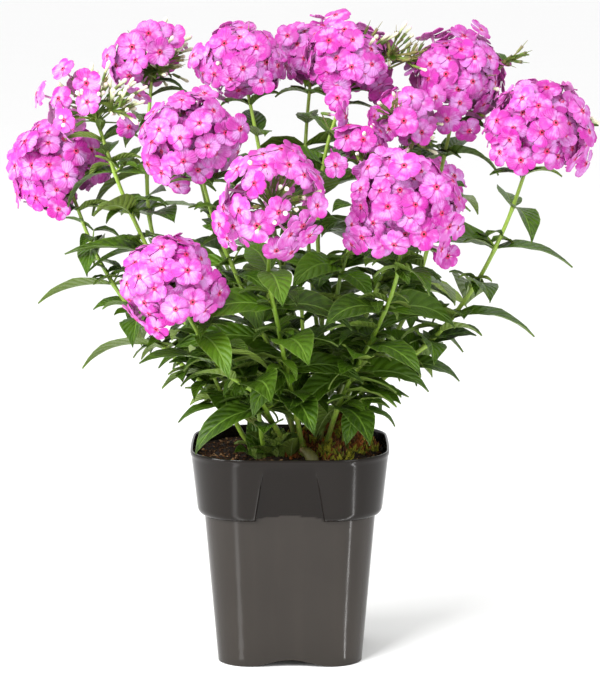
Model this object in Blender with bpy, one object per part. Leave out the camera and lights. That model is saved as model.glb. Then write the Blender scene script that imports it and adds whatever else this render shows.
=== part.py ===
"""A garden phlox in its square nursery pot: pot, soil, sixteen leafy stems with a flower head on each, and
four leafy shoots.

Tables are in millimetres and meshes in metres. +Z is up, the front is -Y, and the origin is on the
floor under the middle of the pot.
"""

import math
import random

import bmesh
import bpy
from mathutils import Vector
from mathutils.bvhtree import BVHTree

MM = 0.001
SEED = 1716
SHARP_EDGE = math.radians(35)

# Pot: height of each level, half its width there, and the radius of its corners
POT_OUTSIDE = ((0, 62.5, 23), (128.5, 73.4, 31), (131, 77.2, 36), (136, 79.4, 38),
               (178.5, 84.2, 44), (180, 85, 45), (183, 85, 45))
POT_INSIDE = ((183, 82.8, 43), (176, 82, 42), (137, 77.6, 37), (129, 71.6, 30), (8, 61.2, 23))
POT_BOW = 3
CORNER_STEPS = 3
WALL = 1.8
PANEL_TOP = (176, 84, 22)
PANEL_FOOT = (129, 73.5, 29.5)
PANEL_EDGE = 0.8
PANEL_SLOPE = 0.7
ARCH_HALF = 36
ARCH_HEIGHT = 6
ARCH_FOOT = 0.6
ARCH_STEPS = 6
DRAIN_RADIUS = 4.5
DRAIN_OFFSET = 29
DRAIN_TOP = 20
DRAIN_SIDES = 6
CUT_REACH = 80
CUT_BELOW = 3

# Soil: its level, its unevenness, its gap to the pot, and its mounds as x, y, height and radius
SOIL_LEVEL = 172
SOIL_SWELL = 1.2
SOIL_RIPPLE = 0.8
SOIL_GAP = 0.6
SOIL_MOUNDS = ((14, 0, 9, 36), (50, 4, 11, 24), (-48, 20, 3, 30))
SOIL_RINGS = (0.78, 0.48)
HOLE_DEPTH = 26
HOLE_HEADROOM = 12
HOLE_CLEARANCE = 1.1
HOLE_SIDES = 5

# Stems
CROWN = (15, 0)
STEM_FOOT_RADIUS = 2.8
STEM_TOP_RADIUS = 1.9
SHOOT_FOOT_RADIUS = 2.5
SHOOT_TOP_RADIUS = 1.6
STEM_SEAT = 0.3
STEM_POINTS = 6
STEM_END = 2
STEM_STRAIGHT = 4
STEM_MARGIN = 1.0
CURVE_STEPS = 12

# Leaves: the blade's outline as how far along it is and its half width there
BLADE_OUTLINE = ((0.008, 0.08), (0.34, 1.0), (0.7, 0.68))
BLADE_THICKNESS = 1.2
BLADE_PROPORTION = 0.205
LEAF_LENGTHS = (62, 74, 78, 77, 72, 64)
LEAF_SPACING = (0, 38, 76, 111, 144, 174)
LOWEST_LEAF = 208
SHOOT_TWIST = 0.6
SHOOT_TOP = 3
SHOOT_BEND = 0.4
SHOOT_SHARES = (0.7, 0.1)

# How a leaf is placed: least and most of each draw, and what later tries give up
LEAF_SIZE = (0.92, 1.06)
LEAF_SHRINK = 0.3
LEAF_TURN = 0.15
LEAF_TURN_MORE = 0.9
LEAF_PITCH = (6, 34)
LEAF_DIP = 50
LEAF_DROOP = (0.6, 1.4)
LEAF_LEAN = 0.7
LEAF_ROLL = 0.25
LEAF_FOLD = (0.1, 0.3)
LEAF_TRIES = 16
LEAF_MARGIN = 0.9
LEAF_START = 0.05

# Florets: petal tips and the notches between them, and the slender tube that roots each in the head
PETALS = 5
NOTCH = 0.74
PETAL_DROP = 0.09
NOTCH_DROP = 0.036
EYE_RISE = 0.5
NECK_DEPTH = 2.4
NECK_RADIUS = 1.9
ROOT_DEPTH = 0.25
WIDEST_FLORET = 17.5
LOOSE_FLORET = 14.5
FLORET_COVER = 1.02
FLORET_TILT = 0.14

# Heads: the core's share of the radius, how far out the florets stand, and the shallow lobes of the outline
DENSE_CORE = 0.6
LOOSE_CORE = 0.42
CORE_FOOT = 0.85
CORE_LEVELS = ((-CORE_FOOT, 0.36), (-0.1, 1.0), (0.6, 0.78))
CORE_SIDES = 8
DENSE_REACH = (0.94, 1.04)
LOOSE_REACH = (0.72, 1.08)
LOBES = 3.4
LOBE_PHASES = Vector((7, 3, 5))
LOBE_DEPTH = 0.06
SPREAD = math.radians(122)
BUDS = 5
BUD_WIDTH = 2.6
BUD_LENGTH = 0.62
BUD_BELLY = 0.62
BUD_ROOT = 0.4


class Stem:
    """One flowering stem: where it leaves the soil, where it passes, and the head that it carries."""

    def __init__(self, name, foot, ring, via, head, radius, florets, face, first=40, pairs=5,
                 loose=False):
        angle = math.radians(foot)
        self.name = name
        self.foot = Vector((CROWN[0] + ring * math.cos(angle), CROWN[1] + ring * math.sin(angle), 0))
        self.via = [Vector(point) for point in via]
        self.head = Vector(head)
        self.radius = radius
        self.florets = florets
        self.face = math.radians(face)
        self.first = first
        self.pairs = pairs
        self.loose = loose
        self.axis = (self.head - self.via[-1]).normalized()
        self.core = radius * (LOOSE_CORE if loose else DENSE_CORE)
        self.seat = self.head - self.axis * self.core * CORE_FOOT


STEMS = (
    Stem("left", 162, 30, ((-92, 28, 244), (-144, 42, 299), (-171, 53, 344), (-186, 60, 383)),
         (-200, 66, 411), 45, 16, 0, 48),
    Stem("spray", -172, 30, ((-85, -2, 280), (-129, -1, 368), (-145, -1, 405), (-158, 0, 440)),
         (-166, 0, 470), 36, 9, 70, 44, 6, True),
    Stem("top_left", 134, 30, ((-74, 45, 265), (-121, 67, 356), (-126, 79, 410), (-121, 90, 468)),
         (-122, 98, 502), 37, 10, 20, 44, 6, True),
    Stem("back_left", 110, 30, ((-25, 80, 250), (-59, 123, 325), (-80, 148, 384)),
         (-87, 168, 420), 38, 13, 60),
    Stem("centre_left", -148, 13, ((-13, -25, 258), (-42, -39, 326), (-60, -48, 370), (-70, -54, 405)),
         (-80, -60, 446), 43, 16, 10, 50),
    Stem("lower_left", -128, 30, ((-28, -75, 237), (-55, -95, 260), (-69, -117, 286), (-81, -132, 309)),
         (-97, -148, 341), 39, 15, 25, 38, 4),
    Stem("front_centre", -98, 30, ((3, -63, 230), (-5, -93, 273), (-12, -123, 317), (-17, -144, 352)),
         (-12, -168, 405), 45, 15, 15, 46, 5, True),
    Stem("top_centre_left", 133, 12, ((9, 22, 251), (-9, 36, 336), (-24, 49, 417), (-34, 55, 462)),
         (-40, 60, 502), 37, 14, 35, 84),
    Stem("top_centre_a", 84, 30, ((26, 55, 245), (17, 82, 330), (13, 105, 412), (17, 120, 470)),
         (19, 130, 506), 34, 12, 80, 62),
    Stem("top_centre_b", 44, 13, ((28, 20, 268), (24, 31, 371), (31, 37, 431), (42, 40, 462)),
         (53, 42, 504), 40, 15, 65, 90),
    Stem("mid", -40, 15, ((34, -20, 265), (42, -23, 326), (57, -27, 373), (62, -30, 405)),
         (59, -32, 437), 25, 7, 40, 56, 5, True),
    Stem("mid_right", 8, 15, ((64, 4, 289), (92, 0, 366), (98, 0, 420)),
         (98, -2, 458), 29, 9, 75, 60, 5, True),
    Stem("centre_right", -58, 30, ((45, -54, 236), (58, -68, 263), (78, -91, 308), (90, -110, 350)),
         (93, -128, 400), 44, 16, 30, 38),
    Stem("right", -12, 30, ((68, -18, 230), (106, -24, 261), (144, -38, 305), (162, -48, 340),
                            (184, -60, 388)),
         (205, -68, 455), 44, 16, 5, 44, 6),
    Stem("top_right", 18, 30, ((91, 25, 272), (116, 35, 334), (130, 46, 409), (138, 50, 444)),
         (147, 52, 490), 44, 16, 50, 44, 6),
    Stem("back_right", 54, 30, ((71, 88, 249), (98, 124, 298), (111, 146, 340)),
         (118, 166, 384), 38, 13, 20),
)

# Leafy shoots with no flower yet: foot, tip, number of leaf pairs, their spacing, length of the longest leaf
SHOOTS = (
    ("shoot_front", (-22, -30), (-30, -44, 252), 3, 17, 56),
    ("shoot_left", (-34, -6), (-66, -20, 246), 3, 16, 58),
    ("shoot_middle", (15, 0), (10, -38, 306), 4, 28, 62),
    ("shoot_right", (44, -21), (70, -40, 262), 3, 24, 60),
)


def clear_scene():
    """Empties the scene of what it starts with."""
    for thing in list(bpy.data.objects):
        bpy.data.objects.remove(thing, do_unlink=True)


def collection(name):
    made = bpy.data.collections.new(name)
    bpy.context.scene.collection.children.link(made)
    return made


def material(name, colour, roughness):
    made = bpy.data.materials.new(name)
    made.use_nodes = True
    shader = made.node_tree.nodes["Principled BSDF"]
    shader.inputs["Base Color"].default_value = (*colour, 1)
    shader.inputs["Roughness"].default_value = roughness
    shader.inputs["Metallic"].default_value = 0
    made.diffuse_color = (*colour, 1)
    return made


def add_object(name, mesh, finish, home):
    made = bpy.data.objects.new(name, mesh)
    made.data.materials.clear()
    made.data.materials.append(finish)
    home.objects.link(made)
    return made


def mesh_of(name, shape):
    """A mesh in metres from points in millimetres and faces, with the faces turned outwards."""
    points, faces = shape
    mesh = bpy.data.meshes.new(name)
    mesh.from_pydata([tuple(point * MM for point in vector) for vector in points], [], faces)
    shell = bmesh.new()
    shell.from_mesh(mesh)
    bmesh.ops.recalc_face_normals(shell, faces=shell.faces)
    shell.to_mesh(mesh)
    shell.free()
    return mesh


def stitch(below, above):
    """Triangles between two rings of point numbers, which may differ in count."""
    faces = []
    i = 0
    j = 0
    while i < len(below) or j < len(above):
        low = (below[i % len(below)], below[(i + 1) % len(below)])
        high = (above[j % len(above)], above[(j + 1) % len(above)])
        if j == len(above) or (i < len(below) and (i + 1) * len(above) <= (j + 1) * len(below)):
            faces.append((low[0], low[1], high[0]))
            i += 1
        else:
            faces.append((low[0], high[1], high[0]))
            j += 1
    return [face for face in faces if len(set(face)) == 3]


def loft(rings):
    """Points and faces of the closed skin over these rings, of which the first or last may be one point."""
    points = []
    faces = []
    numbered = []
    for ring in rings:
        numbered.append(list(range(len(points), len(points) + len(ring))))
        points.extend(ring)
    for below, above in zip(numbered, numbered[1:]):
        faces.extend(stitch(below, above))
    if len(rings[0]) > 2:
        faces.append(tuple(reversed(numbered[0])))
    if len(rings[-1]) > 2:
        faces.append(tuple(numbered[-1]))
    return points, faces


def joined(shapes):
    """Several shapes as one list of points and one of faces."""
    points = []
    faces = []
    for more_points, more_faces in shapes:
        start = len(points)
        points.extend(more_points)
        faces.extend(tuple(number + start for number in face) for face in more_faces)
    return points, faces


def boolean(target, operation, name, shapes, finish, solver="EXACT"):
    """Joins these shapes to the target, or cuts them from it, and applies that."""
    helpers = collection(name)
    helpers.hide_render = True
    for number, shape in enumerate(shapes):
        helper = add_object(f"{name}_{number}", mesh_of(name, shape), finish, helpers)
        helper.hide_render = True
        helper.display_type = "WIRE"
    modifier = target.modifiers.new(name, "BOOLEAN")
    modifier.operation = operation
    modifier.operand_type = "COLLECTION"
    modifier.collection = helpers
    modifier.solver = solver
    bpy.context.view_layer.update()
    graph = bpy.context.evaluated_depsgraph_get()
    mesh = bpy.data.meshes.new_from_object(target.evaluated_get(graph))
    target.modifiers.remove(modifier)
    target.data = mesh
    for helper in list(helpers.objects):
        bpy.data.objects.remove(helper, do_unlink=True)
    bpy.data.collections.remove(helpers)


def turned(point, quarter):
    x, y, z = point
    for _ in range(quarter):
        x, y = -y, x
    return Vector((x, y, z))


def pot_ring(height, half, radius, behind=0.0, gap=0.0):
    """One level of the pot: a square with round corners, sides bowed out, and a panel set into each side.

    It lies this far behind the panel's face, and the gap draws it in all round.
    """
    half -= gap
    plain = half - POT_BOW
    corner = plain - radius + gap
    share = min(max((PANEL_TOP[0] - height) / (PANEL_TOP[0] - PANEL_FOOT[0]), 0), 1)
    width = PANEL_TOP[2] + share * (PANEL_FOOT[2] - PANEL_TOP[2]) + PANEL_SLOPE * behind + gap
    inset = 0
    if PANEL_FOOT[0] < height < PANEL_TOP[0]:
        face = PANEL_TOP[1] + share * (PANEL_FOOT[1] - PANEL_TOP[1])
        inset = max(half - face + behind + gap, 0)

    def bowed(s, out):
        return (s * (1 + POT_BOW / plain * (1 - (out / plain) ** 2)),
                out * (1 + POT_BOW / plain * (1 - (s / plain) ** 2)))

    side = [bowed(-width, plain)]
    side.append((-width + PANEL_EDGE, bowed(width, plain)[1] - inset))
    side.append((width - PANEL_EDGE, bowed(width, plain)[1] - inset))
    side.append(bowed(width, plain))
    for step in range(CORNER_STEPS + 1):
        angle = math.pi / 2 * step / CORNER_STEPS
        reach = plain - corner
        side.append(bowed(corner + reach * math.sin(angle), corner + reach * math.cos(angle)))
    return [turned((s, -out, height), quarter) for quarter in range(4) for s, out in side]


def arch_cutter(quarter):
    """A channel under the pot from side to side, bell-shaped in section, which leaves four corner feet."""
    profile = []
    for step in range(ARCH_STEPS + 1):
        share = 2 * step / ARCH_STEPS - 1
        bell = math.cos(math.pi / 2 * share) ** 2
        profile.append((ARCH_HALF * share, (ARCH_HEIGHT + ARCH_FOOT) * bell - ARCH_FOOT))
    profile += [(ARCH_HALF, -CUT_BELOW), (-ARCH_HALF, -CUT_BELOW)]
    return loft([[turned((x, y, z), quarter) for x, z in profile] for y in (-CUT_REACH, CUT_REACH)])


def drain_cutter(quarter):
    x, y, _ = turned((DRAIN_OFFSET, 0, 0), quarter)
    return prism(x, y, -CUT_BELOW, DRAIN_TOP, DRAIN_RADIUS, DRAIN_SIDES)


def prism(x, y, low, high, radius, sides):
    rings = []
    for z in (low, high):
        angles = [2 * math.pi * side / sides for side in range(sides)]
        rings.append([Vector((x + radius * math.cos(a), y + radius * math.sin(a), z)) for a in angles])
    return loft(rings)


def make_pot(home, finish):
    rings = [pot_ring(*level) for level in POT_OUTSIDE]
    rings += [pot_ring(*level, WALL) for level in POT_INSIDE]
    pot = add_object("pot", mesh_of("pot", loft(rings)), finish, home)
    boolean(pot, "DIFFERENCE", "arches", [arch_cutter(0), arch_cutter(1)], finish, "MANIFOLD")
    boolean(pot, "DIFFERENCE", "drains", [drain_cutter(quarter) for quarter in range(4)], finish, "MANIFOLD")
    return loft(rings)


def soil_height(x, y):
    """Height of the soil: nearly flat, a little uneven, with mounds at the crown of the plant."""
    height = SOIL_LEVEL + SOIL_SWELL * math.sin(x / 9 + 1) * math.cos(y / 11)
    height += SOIL_RIPPLE * math.sin(x / 5 - y / 7)
    for mound_x, mound_y, rise, radius in SOIL_MOUNDS:
        height += rise * math.exp(-((x - mound_x) ** 2 + (y - mound_y) ** 2) / radius ** 2)
    return height


def make_soil(home, finish, feet):
    levels = [pot_ring(z, half, radius, WALL, SOIL_GAP) for z, half, radius in reversed(POT_INSIDE[2:])]
    for point in levels[0]:
        point.z += SOIL_GAP
    share = (SOIL_LEVEL - POT_INSIDE[2][0]) / (POT_INSIDE[1][0] - POT_INSIDE[2][0])
    half = POT_INSIDE[2][1] + share * (POT_INSIDE[1][1] - POT_INSIDE[2][1])
    radius = POT_INSIDE[2][2] + share * (POT_INSIDE[1][2] - POT_INSIDE[2][2])
    edge = pot_ring(SOIL_LEVEL, half, radius, WALL, SOIL_GAP)
    levels.append(edge)
    for scale in SOIL_RINGS:
        spots = [(point.x * scale, point.y * scale) for point in edge[::2]]
        levels.append([Vector((x, y, soil_height(x, y))) for x, y in spots])
    levels.append([Vector((0, 0, soil_height(0, 0)))])
    levels.reverse()
    soil = add_object("soil", mesh_of("soil", loft(levels)), finish, home)
    holes = []
    for foot in feet:
        top = soil_height(foot.x, foot.y)
        radius = STEM_FOOT_RADIUS + HOLE_CLEARANCE
        holes.append(prism(foot.x, foot.y, top - HOLE_DEPTH, top + HOLE_HEADROOM, radius, HOLE_SIDES))
    boolean(soil, "DIFFERENCE", "holes", holes, finish)
    return loft(levels)


def smooth_path(points, count):
    """Points at even steps along one smooth curve through the given ones."""
    padded = [2 * points[0] - points[1], *points, 2 * points[-1] - points[-2]]
    fine = []
    for a, b, c, d in zip(padded, padded[1:], padded[2:], padded[3:]):
        for step in range(CURVE_STEPS):
            t = step / CURVE_STEPS
            fine.append(0.5 * ((2 * b) + (c - a) * t + (2 * a - 5 * b + 4 * c - d) * t * t
                               + (3 * b - a - 3 * c + d) * t ** 3))
    fine.append(points[-1])
    lengths = [0.0]
    for here, there in zip(fine, fine[1:]):
        lengths.append(lengths[-1] + (there - here).length)
    return [along(fine, lengths, lengths[-1] * step / (count - 1)) for step in range(count)]


def along(points, lengths, distance):
    """The point this far along a line, which has these lengths up to its points."""
    for number in range(1, len(points)):
        if lengths[number] >= distance:
            span = lengths[number] - lengths[number - 1]
            return points[number - 1].lerp(points[number], (distance - lengths[number - 1]) / span)
    return points[-1].copy()


def stem_path(foot, via, seat):
    """The line of a stem: straight down in its hole, then by way of its points to its seat under the head."""
    ground = soil_height(foot.x, foot.y)
    buried = Vector((foot.x, foot.y, ground - HOLE_DEPTH + STEM_END))
    free = Vector((foot.x, foot.y, ground + STEM_STRAIGHT))
    return [buried, *smooth_path([free, *via, seat], STEM_POINTS)]


def tube(name, path, foot_radius, top_radius):
    """Points and faces of a four-sided tube along a path, made from a bevelled curve."""
    curve = bpy.data.curves.new(name, "CURVE")
    curve.dimensions = "3D"
    curve.bevel_depth = MM
    curve.bevel_resolution = 0
    curve.use_fill_caps = True
    spline = curve.splines.new("POLY")
    spline.points.add(len(path) - 1)
    for number, point in enumerate(path):
        share = number / (len(path) - 1)
        spline.points[number].co = (*(point * MM), 1)
        spline.points[number].radius = foot_radius + share * (top_radius - foot_radius)
    guide = bpy.data.objects.new(name, curve)
    bpy.context.scene.collection.objects.link(guide)
    bpy.context.view_layer.update()
    mesh = bpy.data.meshes.new_from_object(guide.evaluated_get(bpy.context.evaluated_depsgraph_get()))
    bpy.data.objects.remove(guide, do_unlink=True)
    shell = bmesh.new()
    shell.from_mesh(mesh)
    bmesh.ops.remove_doubles(shell, verts=shell.verts, dist=0.00001)
    points = [vertex.co / MM for vertex in shell.verts]
    faces = [tuple(vertex.index for vertex in face.verts) for face in shell.faces]
    shell.free()
    return points, faces


class Clearance:
    """What is already in place, and whether a new blade would touch it."""

    def __init__(self):
        self.things = []

    def add(self, owner, shape):
        points, faces = shape
        low = [min(point[axis] for point in points) for axis in range(3)]
        high = [max(point[axis] for point in points) for axis in range(3)]
        self.things.append((owner, low, high, BVHTree.FromPolygons(points, faces)))

    def touched(self, shape, but):
        points, faces = shape
        low = [min(point[axis] for point in points) for axis in range(3)]
        high = [max(point[axis] for point in points) for axis in range(3)]
        tree = BVHTree.FromPolygons(points, faces)
        for owner, other_low, other_high, other in self.things:
            apart = any(low[axis] > other_high[axis] or high[axis] < other_low[axis] for axis in range(3))
            if owner != but and not apart and tree.overlap(other):
                return True
        return False


def blade(base, azimuth, pitch, length, droop, roll, fold, margin=0.0):
    """A lance-shaped leaf that arches over, folded up a little along its rib and thickest there.

    Both faces are split into the same triangles. With a margin it is a fatter blade that starts clear
    of the stem, for trying its place.
    """
    forward = Vector((math.cos(azimuth), math.sin(azimuth), 0))
    left = Vector((-math.sin(azimuth), math.cos(azimuth), 0))
    up = Vector((0, 0, 1))
    half = length * BLADE_PROPORTION + margin
    thickness = BLADE_THICKNESS / 2 + margin

    def spine(t):
        run = (math.sin(pitch) - math.sin(pitch - droop * t)) / droop
        rise = (math.cos(pitch - droop * t) - math.cos(pitch)) / droop
        return base + length * (forward * run + up * rise)

    points = []
    for t, width in BLADE_OUTLINE:
        t = max(t, LEAF_START) if margin else t
        slope = pitch - droop * t
        normal = up * math.cos(slope) - forward * math.sin(slope)
        across = left * math.cos(roll) + normal * math.sin(roll)
        lift = normal * math.cos(roll) - left * math.sin(roll)
        reach = half * width
        middle = spine(t)
        points.append(middle + across * reach + lift * reach * fold)
        points.append(middle - across * reach + lift * reach * fold)
        points.append(middle + lift * thickness)
        points.append(middle - lift * thickness)
    points.append(spine(1 + margin / length))
    tip = len(points) - 1
    faces = [(0, 1, 2), (0, 3, 1)]
    for start in range(0, tip, 4):
        left_edge, right_edge, top, under = range(start, start + 4)
        last = start + 4 == tip
        for middle, flip in ((top, False), (under, True)):
            if last:
                side = [(middle, tip, left_edge), (middle, right_edge, tip)]
            else:
                side = [(middle, middle + 4, left_edge + 4), (middle, left_edge + 4, left_edge),
                        (middle, right_edge, right_edge + 4), (middle, right_edge + 4, middle + 4)]
            faces.extend(tuple(reversed(face)) if flip else face for face in side)
    return points, faces


def placed_leaf(base, azimuth, length, draw, clearance, owner):
    """The first blade of a few tries that touches nothing but its own stem, or None.

    Its face leans outwards, to the light, and it arches over.
    """
    outward = Vector((base.x, base.y)).normalized()
    for attempt in range(LEAF_TRIES):
        slack = attempt / LEAF_TRIES
        size = length * draw.uniform(*LEAF_SIZE) * (1 - LEAF_SHRINK * slack)
        turn = azimuth + draw.uniform(-1, 1) * (LEAF_TURN + LEAF_TURN_MORE * slack)
        pitch = math.radians(draw.uniform(*LEAF_PITCH) - LEAF_DIP * slack * draw.random())
        lean = outward.dot(Vector((-math.sin(turn), math.cos(turn))))
        roll = -LEAF_LEAN * lean + draw.uniform(-LEAF_ROLL, LEAF_ROLL)
        shape = (turn, pitch, size, draw.uniform(*LEAF_DROOP), roll, draw.uniform(*LEAF_FOLD))
        probe = blade(base, *shape, margin=LEAF_MARGIN)
        if not clearance.touched(probe, owner):
            clearance.add("leaf", probe)
            return blade(base, *shape)
    return None


def leaf_bases(path, first, spacing, lowest):
    """Where the leaf pairs leave a stem, from the top down."""
    downward = list(reversed(path[1:]))
    lengths = [0.0]
    for here, there in zip(downward, downward[1:]):
        lengths.append(lengths[-1] + (there - here).length)
    spots = [along(downward, lengths, first + gap) for gap in spacing if first + gap < lengths[-1]]
    return [spot for spot in spots if spot.z > lowest]


def leafy_stem(name, path, foot_radius, top_radius, pairs, home, finish, clearance):
    """A stem with its leaves, in pairs each turned a quarter from the pair above, fused in one body."""
    draw = random.Random(f"{SEED}{name}")
    leaves = []
    for spot, azimuth, length in pairs:
        for half_turn in (0, math.pi):
            leaf = placed_leaf(spot, azimuth + half_turn, length, draw, clearance, name)
            if leaf:
                leaves.append(leaf)
    stem = add_object(name, mesh_of(name, tube(name, path, foot_radius, top_radius)), finish, home)
    boolean(stem, "UNION", name + "_leaves", leaves, finish)
    return stem


def floret(centre, axis, spin, radius, root):
    """One flower: five petals round an eye, thin at the rim, on a slender tube down to its root."""
    turn = axis.to_track_quat("Z", "Y")
    rim = []
    for corner in range(2 * PETALS):
        angle = spin + math.pi * corner / PETALS
        reach = radius * (NOTCH if corner % 2 else 1)
        drop = -radius * (NOTCH_DROP if corner % 2 else PETAL_DROP)
        rim.append(centre + turn @ Vector((reach * math.cos(angle), reach * math.sin(angle), drop)))
    neck = []
    for corner in range(3):
        angle = spin + 2 * math.pi * corner / 3
        offset = Vector((NECK_RADIUS * math.cos(angle), NECK_RADIUS * math.sin(angle), -NECK_DEPTH))
        neck.append(centre + turn @ offset)
    return loft([[root], neck, rim, [centre + axis * EYE_RISE]])


def head_direction(number, count, axis, spin):
    """Directions spread evenly over a head, from its top to past its widest level."""
    polar = math.acos(1 - (1 - math.cos(SPREAD)) * (number + 0.5) / count)
    turn = spin + number * math.pi * (3 - math.sqrt(5))
    local = Vector((math.sin(polar) * math.cos(turn), math.sin(polar) * math.sin(turn), math.cos(polar)))
    return axis.to_track_quat("Z", "Y") @ local


def head_reach(stem, direction):
    """How far out a head's surface is in this direction: a ball with shallow lobes."""
    x, y, z = direction * LOBES + LOBE_PHASES * stem.face
    return stem.radius * (1 + LOBE_DEPTH * (math.sin(x) * math.sin(y) + math.sin(z) / 2))


def core_of(stem):
    """The head's close inner branches as one small body with a flat foot, out of which the florets stand."""
    core = stem.core
    turn = stem.axis.to_track_quat("Z", "Y")
    rings = []
    for level, share in CORE_LEVELS:
        ring = []
        for side in range(CORE_SIDES):
            angle = math.tau * side / CORE_SIDES
            reach = core * share
            ring.append(stem.head + turn @ Vector((reach * math.cos(angle), reach * math.sin(angle),
                                                   core * level)))
        rings.append(ring)
    rings.append([stem.head + stem.axis * core])
    return loft(rings)


def bud(centre, axis, length, width):
    """A closed bud: a slim three-sided spindle, its root in the head's core."""
    turn = axis.to_track_quat("Z", "Y")
    belly = []
    for corner in range(3):
        angle = math.tau * corner / 3
        belly.append(centre + turn @ Vector((width * math.cos(angle), width * math.sin(angle),
                                             length * BUD_BELLY)))
    return loft([[centre], belly, [centre + axis * length]])


def florets_of(stem):
    """The florets and buds of a head."""
    draw = random.Random(f"{SEED}{stem.name}florets")
    spin = draw.uniform(0, math.tau)
    size = FLORET_COVER * stem.radius * math.sqrt((1 - math.cos(SPREAD)) * 2 / stem.florets)
    size = LOOSE_FLORET if stem.loose else min(size, WIDEST_FLORET)
    shapes = []
    for number in range(stem.florets):
        direction = head_direction(number, stem.florets, stem.axis, spin)
        reach = head_reach(stem, direction) * draw.uniform(*(LOOSE_REACH if stem.loose else DENSE_REACH))
        centre = stem.head + direction * reach
        tilt = Vector([draw.uniform(-FLORET_TILT, FLORET_TILT) for _ in range(3)])
        axis = (direction + tilt).normalized()
        root = stem.head + direction * stem.core * ROOT_DEPTH
        shapes.append(floret(centre, axis, draw.uniform(0, math.tau), size, root))
    if stem.loose:
        for number in range(BUDS):
            direction = head_direction(number + 0.5, 2 * BUDS, stem.axis, spin)
            centre = stem.head + direction * stem.core * BUD_ROOT
            shapes.append(bud(centre, direction, stem.radius * BUD_LENGTH, BUD_WIDTH))
    return shapes


def make_head(stem, home, finish):
    name = "head_" + stem.name
    head = add_object(name, mesh_of(name, core_of(stem)), finish, home)
    boolean(head, "UNION", name + "_florets", florets_of(stem), finish)


def shoot_path(foot, tip):
    """The line of a flowerless shoot, which rises nearly straight to its tip."""
    foot = Vector((*foot, 0))
    ground = Vector((foot.x, foot.y, soil_height(foot.x, foot.y)))
    return stem_path(foot, [ground.lerp(Vector(tip), SHOOT_BEND)], Vector(tip))


def shoot_pairs(path, count, spacing, longest):
    """Leaf pairs of a flowerless shoot, close together and smaller towards its tip."""
    spots = leaf_bases(path, SHOOT_TOP, [spacing * number for number in range(count)], 0)
    smallest, more = SHOOT_SHARES
    return [(spot, math.pi / 2 * number + SHOOT_TWIST, longest * (smallest + more * number))
            for number, spot in enumerate(spots)]


def main():
    clear_scene()
    home = collection("Potted phlox")
    plastic = material("pot_plastic", (0.075, 0.068, 0.06), 0.42)
    earth = material("soil", (0.035, 0.02, 0.012), 0.95)
    green = material("leaf_green", (0.09, 0.22, 0.035), 0.5)
    pink = material("petal_pink", (0.82, 0.2, 0.72), 0.55)
    clearance = Clearance()
    clearance.add("pot", make_pot(home, plastic))
    feet = [stem.foot for stem in STEMS] + [Vector((*shoot[1], 0)) for shoot in SHOOTS]
    clearance.add("soil", make_soil(home, earth, feet))
    paths = {}
    for stem in STEMS:
        paths[stem.name] = stem_path(stem.foot, stem.via, stem.seat - stem.axis * STEM_SEAT)
        clearance.add("stem_" + stem.name, tube(stem.name, paths[stem.name], STEM_FOOT_RADIUS + STEM_MARGIN,
                                                STEM_TOP_RADIUS + STEM_MARGIN))
        clearance.add("head", joined([core_of(stem), *florets_of(stem)]))
        make_head(stem, home, pink)
    for name, foot, tip, _, _, _ in SHOOTS:
        paths[name] = shoot_path(foot, tip)
        clearance.add(name, tube(name, paths[name], SHOOT_FOOT_RADIUS + STEM_MARGIN,
                                 SHOOT_TOP_RADIUS + STEM_MARGIN))
    for stem in STEMS:
        spots = leaf_bases(paths[stem.name], stem.first, LEAF_SPACING[:stem.pairs], LOWEST_LEAF)
        pairs = [(spot, stem.face + math.pi / 2 * (number + 1), LEAF_LENGTHS[number])
                 for number, spot in enumerate(spots)]
        leafy_stem("stem_" + stem.name, paths[stem.name], STEM_FOOT_RADIUS, STEM_TOP_RADIUS, pairs, home,
                   green, clearance)
    for name, _, _, count, spacing, longest in SHOOTS:
        leafy_stem(name, paths[name], SHOOT_FOOT_RADIUS, SHOOT_TOP_RADIUS,
                   shoot_pairs(paths[name], count, spacing, longest), home, green, clearance)
    for thing in home.objects:
        thing.data.shade_smooth()
        thing.data.set_sharp_from_angle(angle=SHARP_EDGE)


main()
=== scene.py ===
"""Looks of a potted garden phlox: fine florets, leaves, stems, soil and pot, built round the CAD frame."""

import math
import random

import bpy
import numpy as np
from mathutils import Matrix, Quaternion, Vector, noise
from mathutils.kdtree import KDTree


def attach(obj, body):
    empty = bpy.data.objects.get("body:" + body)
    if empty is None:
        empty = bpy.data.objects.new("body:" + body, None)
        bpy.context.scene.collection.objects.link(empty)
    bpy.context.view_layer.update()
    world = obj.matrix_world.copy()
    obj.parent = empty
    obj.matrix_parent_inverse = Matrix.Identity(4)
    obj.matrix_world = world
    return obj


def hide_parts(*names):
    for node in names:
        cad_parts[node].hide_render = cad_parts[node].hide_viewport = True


# Lengths are in millimetres until a mesh is made
MM = 0.001
SEED = 1716

# The pot: height, half its width and its corners' radius, as in the solids
POT_FOOT_EDGE = (0.0, 61.6, 22.6)
POT_BODY = ((0, 62.5, 23), (128.5, 73.4, 31))
POT_COLLAR = ((136, 79.4, 38), (178.5, 84.2, 44))
POT_RIM = ((179.5, 84.8, 44.8), (180.4, 85, 45), (182.1, 85, 45), (182.7, 84.7, 44.7), (183, 83.9, 44),
           (182.7, 83.1, 43.3), (182.1, 82.8, 43))
POT_INSIDE = ((182.1, 82.8, 43), (176, 82, 42), (137, 77.6, 37), (129, 71.6, 30), (8, 61.2, 23))
POT_BOW = 3
WALL = 1.8
BODY_FLARE = 0.085
CORNER_STEPS = 12
SHOULDER_STEPS = 8
FLOOR_SHARES = (0.12, 0.3, 0.48, 0.62, 0.75, 0.86, 0.94, 0.975)
BODY_LEVELS = (0.5, 1.4, 4, 8, 12, 18, 30, 50, 75, 100, 124, 128.2)
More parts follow.
